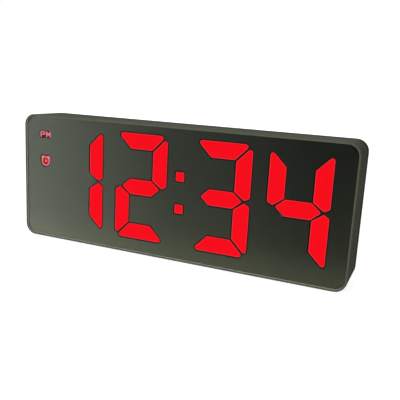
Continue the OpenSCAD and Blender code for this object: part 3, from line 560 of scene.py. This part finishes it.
@dataclass(frozen=True)
class ShrinkSleeve(Finish):
    """Aluminium can in a shrunk vinyl sleeve: glossy dark blue with a pale stripe, and bare ends."""

    colour: str = "#1f2c52"
    stripe_colour: str = "#b8bcc6"
    can_colour: str = "#c4c6ca"
    roughness: float = 0.25
    # the stripe covers what faces up by more than this
    stripe_from: float = 0.85

    def feeds(self, tree: Tree) -> dict:
        """The stripe runs along the top of the lying can, and the ends show metal.

        Args:
            tree: The node tree.

        Returns:
            The shader's inputs by name.
        """
        facing = add_node(tree, "TexCoord", out="Normal")
        across = add_node(tree, "SeparateXYZ", [facing], out=Axis.ACROSS.value)
        up = add_node(tree, "SeparateXYZ", [facing], out=Axis.UP.value)
        stripe = add_node(tree, "Math", [up, self.stripe_from], operation="GREATER_THAN")
        sideways = add_node(tree, "Math", [across], operation="ABSOLUTE")
        end = add_node(tree, "Math", [sideways, SQUARE_ON], operation="GREATER_THAN")
        sleeve = add_node(tree, "Mix", [stripe, self.colour, self.stripe_colour], **COLOUR_MIX)
        colour = add_node(tree, "Mix", [end, sleeve, self.can_colour], **COLOUR_MIX)
        return {"Base Color": colour, "Metallic": end, "Roughness": self.roughness}


@dataclass(frozen=True)
class FeltedCan(Finish):
    """Drawn aluminium can with a disc of black felt over its mouth: bright round a dull black middle."""

    # middle of the felt, across and up, and its radius
    middle_mm: tuple[float, float]
    felt_mm: float
    can_colour: str = "#b4b6ba"
    can_roughness: float = 0.3
    felt_colour: str = "#141414"
    felt_roughness: float = 0.95
    fibre_mm: float = 0.25
    fibre_depth_mm: float = 0.02

    def feeds(self, tree: Tree) -> dict:
        """Felt within its radius, metal beyond.

        Args:
            tree: The node tree.

        Returns:
            The shader's inputs by name.
        """
        spot = add_node(tree, "TexCoord", out="Object")
        off = off_line(tree, spot, self.middle_mm)
        metal = add_node(tree, "Math", [off, self.felt_mm * MM], operation="GREATER_THAN")
        colour = add_node(tree, "Mix", [metal, self.felt_colour, self.can_colour], **COLOUR_MIX)
        gloss = add_node(tree, "MapRange", [metal, 0.0, 1.0, self.felt_roughness, self.can_roughness])
        _, relief = roughened(tree, self.fibre_mm, self.fibre_depth_mm)
        return {"Base Color": colour, "Metallic": metal, "Roughness": gloss, "Normal": relief}


@dataclass(frozen=True)
class ContactTongue(Finish):
    """Black liquid-crystal polymer with gold-plated contacts: dull, with a row of bright lines."""

    colour: str = "#121213"
    gold_colour: str = "#d9b45a"
    roughness: float = 0.4
    # distance between contacts, of which a contact takes half
    pitch_mm: float = 0.65

    def feeds(self, tree: Tree) -> dict:
        """Contacts as lines on the faces that look up and down.

        Args:
            tree: The node tree.

        Returns:
            The shader's inputs by name.
        """
        spot = add_node(tree, "TexCoord", out="Object")
        facing = add_node(tree, "TexCoord", out="Normal")
        across = add_node(tree, "SeparateXYZ", [spot], out=Axis.ACROSS.value)
        up = add_node(tree, "SeparateXYZ", [facing], out=Axis.UP.value)
        wave = add_node(tree, "Math", [across, self.pitch_mm * MM / 2], operation="PINGPONG")
        line = add_node(tree, "Math", [wave, self.pitch_mm * MM / 4], operation="GREATER_THAN")
        level = add_node(tree, "Math", [up], operation="ABSOLUTE")
        square = add_node(tree, "Math", [level, SQUARE_ON], operation="GREATER_THAN")
        contact = add_node(tree, "Math", [line, square], operation="MULTIPLY")
        colour = add_node(tree, "Mix", [contact, self.colour, self.gold_colour], **COLOUR_MIX)
        return {"Base Color": colour, "Metallic": contact, "Roughness": self.roughness}


@dataclass(frozen=True)
class CellSleeve(Finish):
    """Printed vinyl sleeve shrunk on a cell: glossy green, with a silver band and plain polarity signs."""

    colour: str = "#2c6b3c"
    band_colour: str = "#c9cccf"
    print_colour: str = "#f2f2ee"
    roughness: float = 0.22
    # where the band starts, and where the plus and the minus stand, from the flat end
    band_mm: float = 35.5
    plus_mm: float = 31.0
    minus_mm: float = 6.5
    # half of the length and of the width of a sign's bar
    sign_mm: float = 1.8
    line_mm: float = 0.4

    def bar(self, tree: Tree, spot: Socket, place_mm: float, reach: Vector) -> Socket:
        """One printed bar on the side that faces the door.

        Args:
            tree: The node tree.
            spot: The point on the cell.
            place_mm: The bar's middle from the flat end.
            reach: Half of the bar's size in millimetres, along the cell and across it.

        Returns:
            One inside the bar, and nothing elsewhere.
        """
        along, front, beside = (add_node(tree, "SeparateXYZ", [spot], out=axis.value) for axis in Axis)
        near = add_node(tree, "Math", [along, place_mm * MM, reach.x * MM], operation="COMPARE")
        level = add_node(tree, "Math", [beside, 0.0, reach.y * MM], operation="COMPARE")
        shown = add_node(tree, "Math", [front, 0.0], operation="GREATER_THAN")
        both = add_node(tree, "Math", [near, level], operation="MULTIPLY")
        return add_node(tree, "Math", [both, shown], operation="MULTIPLY")

    def feeds(self, tree: Tree) -> dict:
        """Green, a silver band at the button's end, a plus and a minus.

        Args:
            tree: The node tree.

        Returns:
            The shader's inputs by name.
        """
        spot = add_node(tree, "TexCoord", out="Object")
        along = add_node(tree, "SeparateXYZ", [spot], out=Axis.ACROSS.value)
        band = add_node(tree, "Math", [along, self.band_mm * MM], operation="GREATER_THAN")
        lying = self.bar(tree, spot, self.plus_mm, Vector((self.sign_mm, self.line_mm)))
        upright = self.bar(tree, spot, self.plus_mm, Vector((self.line_mm, self.sign_mm)))
        plus = add_node(tree, "Math", [lying, upright], operation="MAXIMUM")
        minus = self.bar(tree, spot, self.minus_mm, Vector((self.line_mm, self.sign_mm)))
        signs = add_node(tree, "Math", [plus, minus], operation="MAXIMUM")
        ground = add_node(tree, "Mix", [band, self.colour, self.band_colour], **COLOUR_MIX)
        colour = add_node(tree, "Mix", [signs, ground, self.print_colour], **COLOUR_MIX)
        return {"Base Color": colour, "Roughness": self.roughness}


def dress(finish: Finish, *nodes: str) -> None:
    """Gives CAD nodes their finish.

    Args:
        finish: The finish.
        nodes: Names of the nodes.
    """
    for name in nodes:
        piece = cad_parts[name]
        if not piece.material_slots:
            piece.data.materials.append(None)
        for entry in piece.material_slots:
            entry.material = finish.material()
        LOG.info("%s dressed as %s", name, finish.name)


def add_piece(
    name: str, mesh: bpy.types.Mesh, finishes: list[Finish], body: str, replaced: list[str]
) -> bpy.types.Object:
    """Adds a piece that rides on a body and stands for CAD nodes.

    Args:
        name: The piece's name.
        mesh: Its mesh, whose faces say which finish they have.
        finishes: The finishes, the main one first.
        body: The body that it moves with.
        replaced: Names of the nodes that it stands for.

    Returns:
        The piece.
    """
    for finish in finishes:
        mesh.materials.append(finish.material())
    piece = bpy.data.objects.new(name, mesh)
    bpy.context.scene.collection.objects.link(piece)
    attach(piece, body)
    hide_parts(*replaced)
    LOG.info("%s made", name)
    return piece


def node_middle(node: str) -> tuple[float, ...]:
    """Finds the middle of a node's box.

    Args:
        node: The node's name.

    Returns:
        Its place across, back and up in millimetres.
    """
    return tuple((low + high) / 2 / MM for low, high in zip(*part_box(node)))


# the dark, deeply grained plastic that the cover and its door share
DARK_ABS = {
    "colour": "#262823", "light_colour": "#2c2e29", "edge_colour": "#3a3c36",
    "roughness": 0.4, "shine": 0.2,
}
NICKEL_PLATE = PlatedMetal("nickel_plated_spring_steel", Slot.CONTACT, "#c9c5ba", 0.26)


@dataclass
class CaseShells:
    """The front housing, the rear cover, and what holds them together and carries them."""

    # depth of the painted signs beside the slide switch, from the back face
    sign_drop_mm: float = 1.45

    def build(self) -> None:
        """Dresses the shells, screws and feet."""
        dress(MouldedPlastic("moulded_abs_housing", Slot.HOUSING, "#4e533f", "#545945"), "front_housing")
        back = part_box("rear_cover")[1].y / MM
        dress(MouldedPlastic("moulded_abs_cover", Slot.COVER, **DARK_ABS, floor_mm=back - self.sign_drop_mm),
              "rear_cover")
        dress(PlatedMetal("zinc_plated_steel", Slot.SCREW, "#a9acb0", 0.32),
              "case_screws", "reflector_screws", "control_screws")
        dress(MouldedPlastic("moulded_silicone_rubber", Slot.RUBBER, "#1c1c1b", "#232322", "#2c2c2b", 0.7),
              "rubber_feet")


@dataclass
class FrontPanel:
    """The clear plate, the mirror film on its back and the tape that holds them."""

    # a face whose normal has less than this along the depth belongs to the sawn edge
    edge_share: float = 0.5

    def build(self) -> None:
        """Makes the plate and dresses the rest."""
        self.plate()
        dress(MirrorFilm("metallised_polyester_film", Slot.FILM), "mirror_film")
        dress(MouldedPlastic("black_foam_tape", Slot.TAPE, "#101010", "#181818", "#202020", 0.8),
              "panel_tape")

    def plate(self) -> None:
        """Makes the plate in the shape of its solid, with polished faces and a sawn edge."""
        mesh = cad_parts["front_lens"].data.copy()
        mesh.materials.clear()
        in_face, in_edge = range(2)
        for face in mesh.polygons:
            face.material_index = in_edge if abs(face.normal.y) < self.edge_share else in_face
        polished = PolishedAcrylic("clear_acrylic_sheet", Slot.CLEAR)
        sawn = SawnEdge("sawn_acrylic_edge", Slot.CLEAR)
        add_piece("panel_plate", mesh, [polished, sawn], "case", ["front_lens"])


@dataclass
class Display:
    """The lit tiles, the marks, the light box and its lights."""

    # how far a mark's figure stands before its tile
    mark_rise_mm: float = 0.35
    # the moulded lip round a lit tile, and the slope from the lip down to the tile's face; the lip's dark
    # glow is painted shade, and the slope's pale glow a painted highlight
    lip_mm: float = 0.14
    slope_mm: float = 0.12
    slope_depth_mm: float = 0.08
    # radius of the alarm bell's core, and its middle above the lower end of its tile
    core_mm: float = 1.83
    core_up_mm: float = 2.58
    # corners this close are one, and corners this close behind the foremost ones lie in the front
    merge_mm: float = 0.001
    level_mm: float = 0.01

    def build(self) -> None:
        """Makes the lit tiles and dresses the rest."""
        for node in ("digit_1", "digit_2", "digit_3", "digit_4", "colon_dots"):
            self.tiles(node)
        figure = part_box("pm_mark")[0].y / MM
        tile = figure + self.mark_rise_mm
        dress(LitMark("lit_letters_tile", Slot.LIT, figure_mm=figure, tile_mm=tile), "pm_mark")
        middle = (node_middle("alarm_mark")[0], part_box("alarm_mark")[0].z / MM + self.core_up_mm)
        dress(LitMark("lit_alarm_tile", Slot.LIT, figure_mm=figure, tile_mm=tile, middle_mm=middle,
                      core_mm=self.core_mm), "alarm_mark")
        dress(MouldedPlastic("frosted_polystyrene", Slot.IDLE, "#8e8a88", "#9a9694", "#a8a4a2", 0.5),
              "idle_strokes")
        dress(MouldedPlastic("black_polystyrene_box", Slot.BOX, "#161614", "#1d1d1b", "#2a2a28", 0.5),
              "reflector")
        dress(MouldedPlastic("cast_epoxy_lights", Slot.LED, "#e6d9bc", "#f0e5cb", "#f4ecd8", 0.25),
              "red_leds")

    def tiles(self, node: str) -> None:
        """Makes lit tiles in the shape of their solids, with a lip of painted shade and a slope of painted
        highlight round each face.

        Args:
            node: The node that the tiles stand for.
        """
        in_face, in_lip, in_slope = range(3)
        shape = bmesh.new()
        shape.from_mesh(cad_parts[node].data)
        bmesh.ops.remove_doubles(shape, verts=shape.verts, dist=self.merge_mm * MM)
        front = min(corner.co.y for corner in shape.verts) + self.level_mm * MM
        for face in shape.faces:
            face.material_index = in_lip
        lit = [face for face in shape.faces if all(corner.co.y < front for corner in face.verts)]
        bmesh.ops.inset_region(shape, faces=lit, thickness=self.lip_mm * MM, use_even_offset=True)
        slope = bmesh.ops.inset_region(shape, faces=lit, thickness=self.slope_mm * MM,
                                       depth=-self.slope_depth_mm * MM, use_even_offset=True)
        for face in slope["faces"]:
            face.material_index = in_slope
        for face in lit:
            face.material_index = in_face
        mesh = bpy.data.meshes.new(f"{node}_tiles")
        shape.to_mesh(mesh)
        shape.free()
        add_piece(f"{node}_tiles", mesh, [
            LitDiffuser("lit_frosted_polystyrene", Slot.LIT),
            # painted shade: a dark red glow on the lip round each face
            LitDiffuser("painted_shade_polystyrene_lip", Slot.LIT, "#4a0a10", "#3c080c", 0.84),
            # painted highlight: a pale pink glow on the slope round each face
            LitDiffuser("painted_highlight_polystyrene_slope", Slot.LIT, "#d8646a", "#c8545a", 0.84),
        ], "case", [node])


@dataclass
class MainBoard:
    """The display's board and what is soldered to it."""

    # heights of the bodies on the upright board, beyond which there is metal
    chip_mm: float = 7.5
    resistor_mm: float = 0.85

    def build(self) -> None:
        """Dresses the boards and the parts on them."""
        dress(SolderMask("green_solder_mask", Slot.BOARD), "main_board", "control_board")
        dress(self.tipped("moulded_epoxy_chip", "driver_chip", self.chip_mm), "driver_chip")
        dress(self.tipped("glazed_ceramic_resistor", "chip_resistors", self.resistor_mm), "chip_resistors")
        dress(ShrinkSleeve("sleeved_aluminium_can", Slot.SLEEVE), "capacitor")
        dress(PlatedMetal("drawn_nickel_can", Slot.CRYSTAL, "#c2c4c6", 0.2), "clock_crystal")
        dress(MouldedPlastic("moulded_nylon_header", Slot.CHIP, "#1a1a1a", "#202020", "#2c2c2c", 0.5),
              "board_link")

    def tipped(self, name: str, node: str, height_mm: float) -> TippedPlastic:
        """A chip's finish, with metal above and below its body.

        Args:
            name: The finish's name.
            node: The node that it dresses.
            height_mm: Height of its body.

        Returns:
            The finish.
        """
        return TippedPlastic(name, Slot.CHIP, Axis.UP, node_middle(node)[2], height_mm / 2)


@dataclass
class Controls:
    """Buttons, switches, power socket, microphone and sounder."""

    # depth of a button's sign below its face
    sign_drop_mm: float = 0.25
    # thickness of the push switches' plated caps
    cap_mm: float = 0.05
    # radius of the felt in the microphone's mouth
    felt_mm: float = 2.02

    def build(self) -> None:
        """Dresses the controls."""
        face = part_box("set_button")[1].y / MM
        dress(MouldedPlastic("moulded_abs_button", Slot.BUTTON, "#3b3d37", "#40423b", "#55574f", 0.4,
                             floor_mm=face - self.sign_drop_mm), "set_button", "up_button", "down_button")
        middle = node_middle("push_switches")[1]
        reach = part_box("push_switches")[1].y / MM - middle - self.cap_mm
        dress(TippedPlastic("capped_nylon_switch", Slot.CHIP, Axis.DEPTH, middle, reach), "push_switches")
        dress(MouldedPlastic("moulded_nylon_plunger", Slot.CHIP, "#131313", "#1a1a1a", "#2c2c2c", 0.4),
              "set_plunger", "up_plunger", "down_plunger")
        dress(PlatedMetal("tinned_steel", Slot.SWITCH, "#b4b7bb", 0.34), "slide_switch")
        dress(MouldedPlastic("moulded_acetal_knob", Slot.KNOB, "#191a17", "#20211e", "#35362f", 0.35),
              "switch_knob")
        dress(PlatedMetal("nickel_plated_shell", Slot.SHELL, "#c4c6ca", 0.2), "power_socket_shell")
        dress(ContactTongue("gold_lined_polymer_tongue", Slot.TONGUE), "power_socket_tongue")
        across, _, up = node_middle("microphone")
        dress(FeltedCan("felted_aluminium_can", Slot.MICROPHONE, (across, up), self.felt_mm), "microphone")
        dress(MouldedPlastic("moulded_noryl_sounder", Slot.CHIP, "#1c1c1d", "#232324", "#303031", 0.45),
              "sounder")


def skinned(name: str, rings: list[list[Vector]], finishes: list[int]) -> bpy.types.Mesh:
    """Lays a closed skin over rings of points.

    Args:
        name: The mesh's name.
        rings: Points in millimetres: the same number in each ring, or one where the skin closes.
        finishes: The finish of the band between each ring and the next.

    Returns:
        The mesh, smooth but for its sharp edges.
    """
    shape = bmesh.new()
    steps = max(len(ring) for ring in rings)
    corners = [[shape.verts.new(point * MM) for point in ring] for ring in rings]
    for before, after, finish in zip(corners, corners[1:], finishes):
        for i in range(steps):
            around = [before[i % len(before)], before[(i + 1) % len(before)],
                      after[(i + 1) % len(after)], after[i % len(after)]]
            face = shape.faces.new(list(dict.fromkeys(around)))
            face.material_index = finish
            face.smooth = True
    for ring in (corners[0], corners[-1]):
        if len(ring) > 1:
            shape.faces.new(ring)
    bmesh.ops.recalc_face_normals(shape, faces=shape.faces)
    mesh = bpy.data.meshes.new(name)
    shape.to_mesh(mesh)
    shape.free()
    mesh.set_sharp_from_angle(angle=math.radians(SHARP_DEG))
    return mesh


def turned(name: str, profile: list[tuple[float, float, int]], steps: int = 64) -> bpy.types.Mesh:
    """Turns a profile about the X axis.

    Args:
        name: The mesh's name.
        profile: Place along the axis and radius in millimetres, and the finish of the band before it.
        steps: How many flats a turn has.

    Returns:
        The closed mesh.
    """
    rings = []
    for place, radius, _ in profile:
        angles = [math.tau * i / steps for i in range(steps if radius else 1)]
        rings.append([Vector((place, radius * math.cos(a), radius * math.sin(a))) for a in angles])
    return skinned(name, rings, [finish for _, _, finish in profile[1:]])


def wound(name: str, points: list[Vector], wire_mm: float, steps: int = 10) -> bpy.types.Mesh:
    """Lays a round wire along points that wind about the X axis.

    Args:
        name: The mesh's name.
        points: The wire's middle line in millimetres.
        wire_mm: Diameter of the wire.
        steps: How many flats the wire has.

    Returns:
        The closed mesh.
    """
    angles = [math.tau * i / steps for i in range(steps)]
    rings = []
    for i, point in enumerate(points):
        run = (points[min(i + 1, len(points) - 1)] - points[max(i - 1, 0)]).normalized()
        side = run.cross(Vector((0, point.y, point.z))).normalized()
        out = side.cross(run)
        rings.append([point + (out * math.cos(a) + side * math.sin(a)) * wire_mm / 2 for a in angles])
    return skinned(name, rings, [0] * (len(rings) - 1))


@dataclass
class BatteryBay:
    """The three cells, their contacts, springs and leads, and the door over them."""

    cells_in_bay: int = 3
    # length and radius of a cell
    cell_mm: float = 44.5
    radius_mm: float = 5.2
    # a spring's wire, its length, and its width at the plate and at the cell
    wire_mm: float = 0.6
    spring_mm: float = 5.2
    wide_mm: float = 8.0
    narrow_mm: float = 5.0
    turns: float = 5.0
    # part of a turn that lies flat at each end of a spring
    flat_turns: float = 0.75
    # points in a turn
    steps: int = 24

    def build(self) -> None:
        """Makes the cells and springs, and dresses the rest."""
        self.cells()
        self.springs()
        dress(NICKEL_PLATE, "battery_contacts")
        dress(MouldedPlastic("red_vinyl_insulation", Slot.RED_WIRE, "#9c1218", "#ab171d", "#b0282c", 0.4),
              "red_lead")
        dress(MouldedPlastic("black_vinyl_insulation", Slot.BLACK_WIRE, "#151515", "#1c1c1c", "#2a2a2a",
                             0.4), "black_lead")
        dress(MouldedPlastic("moulded_abs_door", Slot.DOOR, **DARK_ABS), "battery_door")

    def rows(self) -> list[tuple[int, float, float]]:
        """Where the cells lie.

        Returns:
            For each cell its facing, 1 to the right or -1 to the left, and its axis's depth and height.
        """
        low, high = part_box("battery_cells")
        depth = node_middle("battery_cells")[1]
        width = (high.y - low.y) / MM
        top = high.z / MM - width / 2
        step = ((high.z - low.z) / MM - width) / (self.cells_in_bay - 1)
        return [(1 - 2 * (i % 2), depth, top - i * step) for i in range(self.cells_in_bay)]

    def stand(self, piece: bpy.types.Object, end_mm: float, row: tuple[int, float, float]) -> None:
        """Puts a piece that was made along the X axis in its place in the bay.

        Args:
            piece: The piece.
            end_mm: Where its flat end lies.
            row: Which way it runs from there, 1 or -1, and its axis's depth and height.
        """
        facing, depth, height = row
        turn = Matrix.Rotation(0.0 if facing > 0 else math.pi, 4, "Y")
        piece.matrix_world = Matrix.Translation(Vector((end_mm, depth, height)) * MM) @ turn

    def cells(self) -> None:
        """Makes each cell: can with its flat end, shrunk sleeve, shoulder and button."""
        sleeve = CellSleeve("printed_vinyl_sleeve", Slot.CELL)
        r = self.radius_mm
        end = self.cell_mm
        in_vinyl, in_metal = range(2)
        flat = [(0.0, 0.0), (0.0, 3.7), (0.25, 4.0), (0.25, 4.45)]
        body = [(0.1, 4.6), (0.1, 4.95), (0.3, r), (end - 4.6, r), (end - 4.2, r - 0.16), (end - 3.8, r),
                (end - 1.5, r), (end - 1.1, r - 0.15), (end - 0.95, r - 0.5), (end - 1.0, 3.4)]
        button = [(end - 1.15, 3.3), (end - 1.15, 1.95), (end - 1.0, 1.88), (end - 0.15, 1.85),
                  (end, 1.65), (end, 0.0)]
        profile = [
            (place, radius, finish)
            for points, finish in ((flat, in_metal), (body, in_vinyl), (button, in_metal))
            for place, radius in points
        ]
        low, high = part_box("battery_cells")
        for i, row in enumerate(self.rows()):
            flat_end = (high.x if row[0] > 0 else low.x) / MM - row[0] * self.cell_mm
            cell = add_piece(f"cell_{i + 1}", turned(f"cell_{i + 1}", profile), [sleeve, NICKEL_PLATE],
                             "case", ["battery_cells"])
            self.stand(cell, flat_end, row)

    def springs(self) -> None:
        """Winds each spring: flat on its plate, narrowing to the cell, and flat again there."""
        count = int(self.turns * self.steps)
        low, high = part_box("battery_springs")
        points = []
        for i in range(count + 1):
            turn = self.turns * i / count
            climb = (turn - self.flat_turns) / (self.turns - 2 * self.flat_turns)
            rise = self.wire_mm / 2 + min(max(climb, 0.0), 1.0) * (self.spring_mm - self.wire_mm)
            wide = self.wide_mm + (self.narrow_mm - self.wide_mm) * rise / self.spring_mm
            radius = (wide - self.wire_mm) / 2
            angle = math.tau * turn
            points.append(Vector((rise, radius * math.cos(angle), radius * math.sin(angle))))
        for i, row in enumerate(self.rows()):
            plate = (low.x if row[0] > 0 else high.x) / MM
            spring = add_piece(f"spring_{i + 1}", wound(f"spring_{i + 1}", points, self.wire_mm),
                               [NICKEL_PLATE], "case", ["battery_springs"])
            self.stand(spring, plate, row)


@dataclass
class Studio:
    """A white table in plain soft light, and the camera."""

    # the camera from the middle of the front plane: to the right, back and up
    camera_mm: tuple[float, float, float] = (104.905, -211.907, 49.639)
    heading_deg: float = 23.0
    tilt_deg: float = -12.23
    roll_deg: float = 3.095
    focal_mm: float = 49.2
    film_mm: float = 36.0
    # sides of the square lamps and of the table, and how far the table lies below the feet
    lamp_mm: float = 900.0
    floor_mm: float = 6000.0
    floor_drop_mm: float = 0.02
    # the table's tone as it lights the clock, its tone to the eye, and the white that the eye sees besides
    floor_colour: str = "#fafafa"
    seen_colour: str = "#b4b4b4"
    floor_lift: float = 0.86
    # plain light from all sides
    ambient: float = 0.28

    def build(self) -> None:
        """Makes the floor, the lamps, the world and the camera."""
        self.floor()
        self.lamp("key", place_mm=(-500, -1300, 500), watts=17.0)
        self.lamp("back", place_mm=(-250, 1400, 150), watts=20.0)
        self.world()
        self.camera()

    def floor(self) -> None:
        """Makes the white table with the clock's soft shadow on it."""
        half = self.floor_mm * MM / 2
        down = -self.floor_drop_mm * MM
        mesh = bpy.data.meshes.new("floor")
        corners = [(-half, -half, down), (half, -half, down), (half, half, down), (-half, half, down)]
        mesh.from_pydata(corners, [], [(0, 1, 2, 3)])
        floor = bpy.data.objects.new("floor", mesh)
        bpy.context.scene.collection.objects.link(floor)
        floor.visible_glossy = False
        material = bpy.data.materials.new("white_table")
        material.use_nodes = True
        tree = material.node_tree
        tree.nodes.clear()
        seen = add_node(tree, "LightPath", out="Is Camera Ray")
        tone = add_node(tree, "Mix", [seen, self.floor_colour, self.seen_colour], **COLOUR_MIX)
        paper = add_node(tree, "BsdfDiffuse", [tone])
        lift = add_node(tree, "Math", [seen, self.floor_lift], operation="MULTIPLY")
        white = add_node(tree, "Emission", ["#ffffff", lift])
        both = add_node(tree, "AddShader", [paper, white])
        add_node(tree, "OutputMaterial", {"Surface": both})
        mesh.materials.append(material)

    def lamp(self, name: str, place_mm: tuple[float, float, float], watts: float) -> None:
        """Hangs one large square lamp that faces the clock.

        Args:
            name: The lamp's name.
            place_mm: Where it hangs.
            watts: Its power.
        """
        data = bpy.data.lights.new(name, "AREA")
        data.size = self.lamp_mm * MM
        data.energy = watts
        lamp = bpy.data.objects.new(name, data)
        lamp.location = Vector(place_mm) * MM
        lamp.rotation_euler = (-lamp.location).to_track_quat("-Z", "Y").to_euler()
        lamp.visible_glossy = False
        bpy.context.scene.collection.objects.link(lamp)

    def mirrored(self, tree: Tree) -> Socket:
        """What gloss mirrors: a dim room over a white table, with a window to the clock's left.

        Args:
            tree: The node tree.

        Returns:
            The colour in each direction.
        """
        way = add_node(tree, "TexCoord", out="Generated")
        x, y, z = (add_node(tree, "SeparateXYZ", [way], out=axis.value) for axis in Axis)
        # before the clock, directions are taken as slopes, so that they fit its flat face
        ahead = add_node(tree, "MapRange", [y, -1.0, -0.05, 1.0, 0.05])
        aside = add_node(tree, "Math", [x, ahead], operation="DIVIDE")
        below = add_node(tree, "Math", [z, ahead], operation="DIVIDE")
        left = add_node(tree, "MapRange", [aside, 0.0, -1.0, 0.0, 1.0])
        window = add_node(tree, "ValToRGB", [left], stops=[
            (0.14, "#4d4d4b"), (0.22, "#505150"), (0.3, "#636463"), (0.5, "#81827f"),
            (0.65, "#a9a9a6"), (0.735, "#bfbfbf"), (0.84, "#dadadc"),
        ])
        low = add_node(tree, "MapRange", [below, 0.0, -0.5, 0.0, 1.0])
        table = add_node(tree, "ValToRGB", [low], stops=[
            (0.2, "#000000"), (0.43, "#343431"), (0.62, "#55544b"), (0.73, "#949282"),
        ])
        colour = add_node(tree, "Mix", [1.0, window, table], **COLOUR_MIX, blend_type="ADD")
        # elsewhere the room is plain: where each part begins, where it is full, and its tone
        for part, begin, full, tone in (
            (y, -0.1, 0.1, "#4c4c4a"), (z, 0.35, 0.7, "#d0d0d0"), (z, -0.4, -0.75, "#e8e8e6"),
        ):
            share = add_node(tree, "MapRange", [part, begin, full, 0.0, 1.0])
            colour = add_node(tree, "Mix", [share, colour, tone], **COLOUR_MIX)
        return colour

    def world(self) -> None:
        """Makes the room: white to the eye, plain as a light, and with something to mirror in gloss."""
        world = bpy.data.worlds.new("studio")
        bpy.context.scene.world = world
        world.use_nodes = True
        tree = world.node_tree
        tree.nodes.clear()
        glossy = add_node(tree, "LightPath", out="Is Glossy Ray")
        plain = (self.ambient, self.ambient, self.ambient, 1.0)
        unseen = add_node(tree, "Mix", [glossy, plain, self.mirrored(tree)], **COLOUR_MIX)
        camera = add_node(tree, "LightPath", out="Is Camera Ray")
        through = add_node(tree, "LightPath", out="Is Transmission Ray")
        eye = add_node(tree, "Math", [camera, through], operation="MAXIMUM")
        colour = add_node(tree, "Mix", [eye, unseen, "#ffffff"], **COLOUR_MIX)
        background = add_node(tree, "Background", [colour, 1.0])
        add_node(tree, "OutputWorld", {"Surface": background})

    def camera(self) -> None:
        """Sets the camera where the photograph was taken from."""
        data = bpy.data.cameras.new("camera")
        data.lens = self.focal_mm
        data.sensor_width = self.film_mm
        camera = bpy.data.objects.new("camera", data)
        low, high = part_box("front_housing")
        middle = Vector(((low.x + high.x) / 2, low.y, (low.z + high.z) / 2))
        turn = (
            Matrix.Rotation(math.radians(self.heading_deg), 4, "Z")
            @ Matrix.Rotation(math.radians(90 + self.tilt_deg), 4, "X")
            @ Matrix.Rotation(math.radians(self.roll_deg), 4, "Z")
        )
        camera.matrix_world = Matrix.Translation(middle + Vector(self.camera_mm) * MM) @ turn
        bpy.context.scene.collection.objects.link(camera)
        bpy.context.scene.camera = camera
        bpy.context.scene.view_settings.view_transform = "Standard"


def main() -> None:
    """Builds the scene, piece by piece."""
    logging.basicConfig(level=logging.INFO)
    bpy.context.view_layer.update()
    parts = (Studio(), CaseShells(), FrontPanel(), Display(), MainBoard(), Controls(), BatteryBay())
    for part in parts:
        part.build()
        LOG.info("%s built", type(part).__name__)


if __name__ == "__main__":
    main()
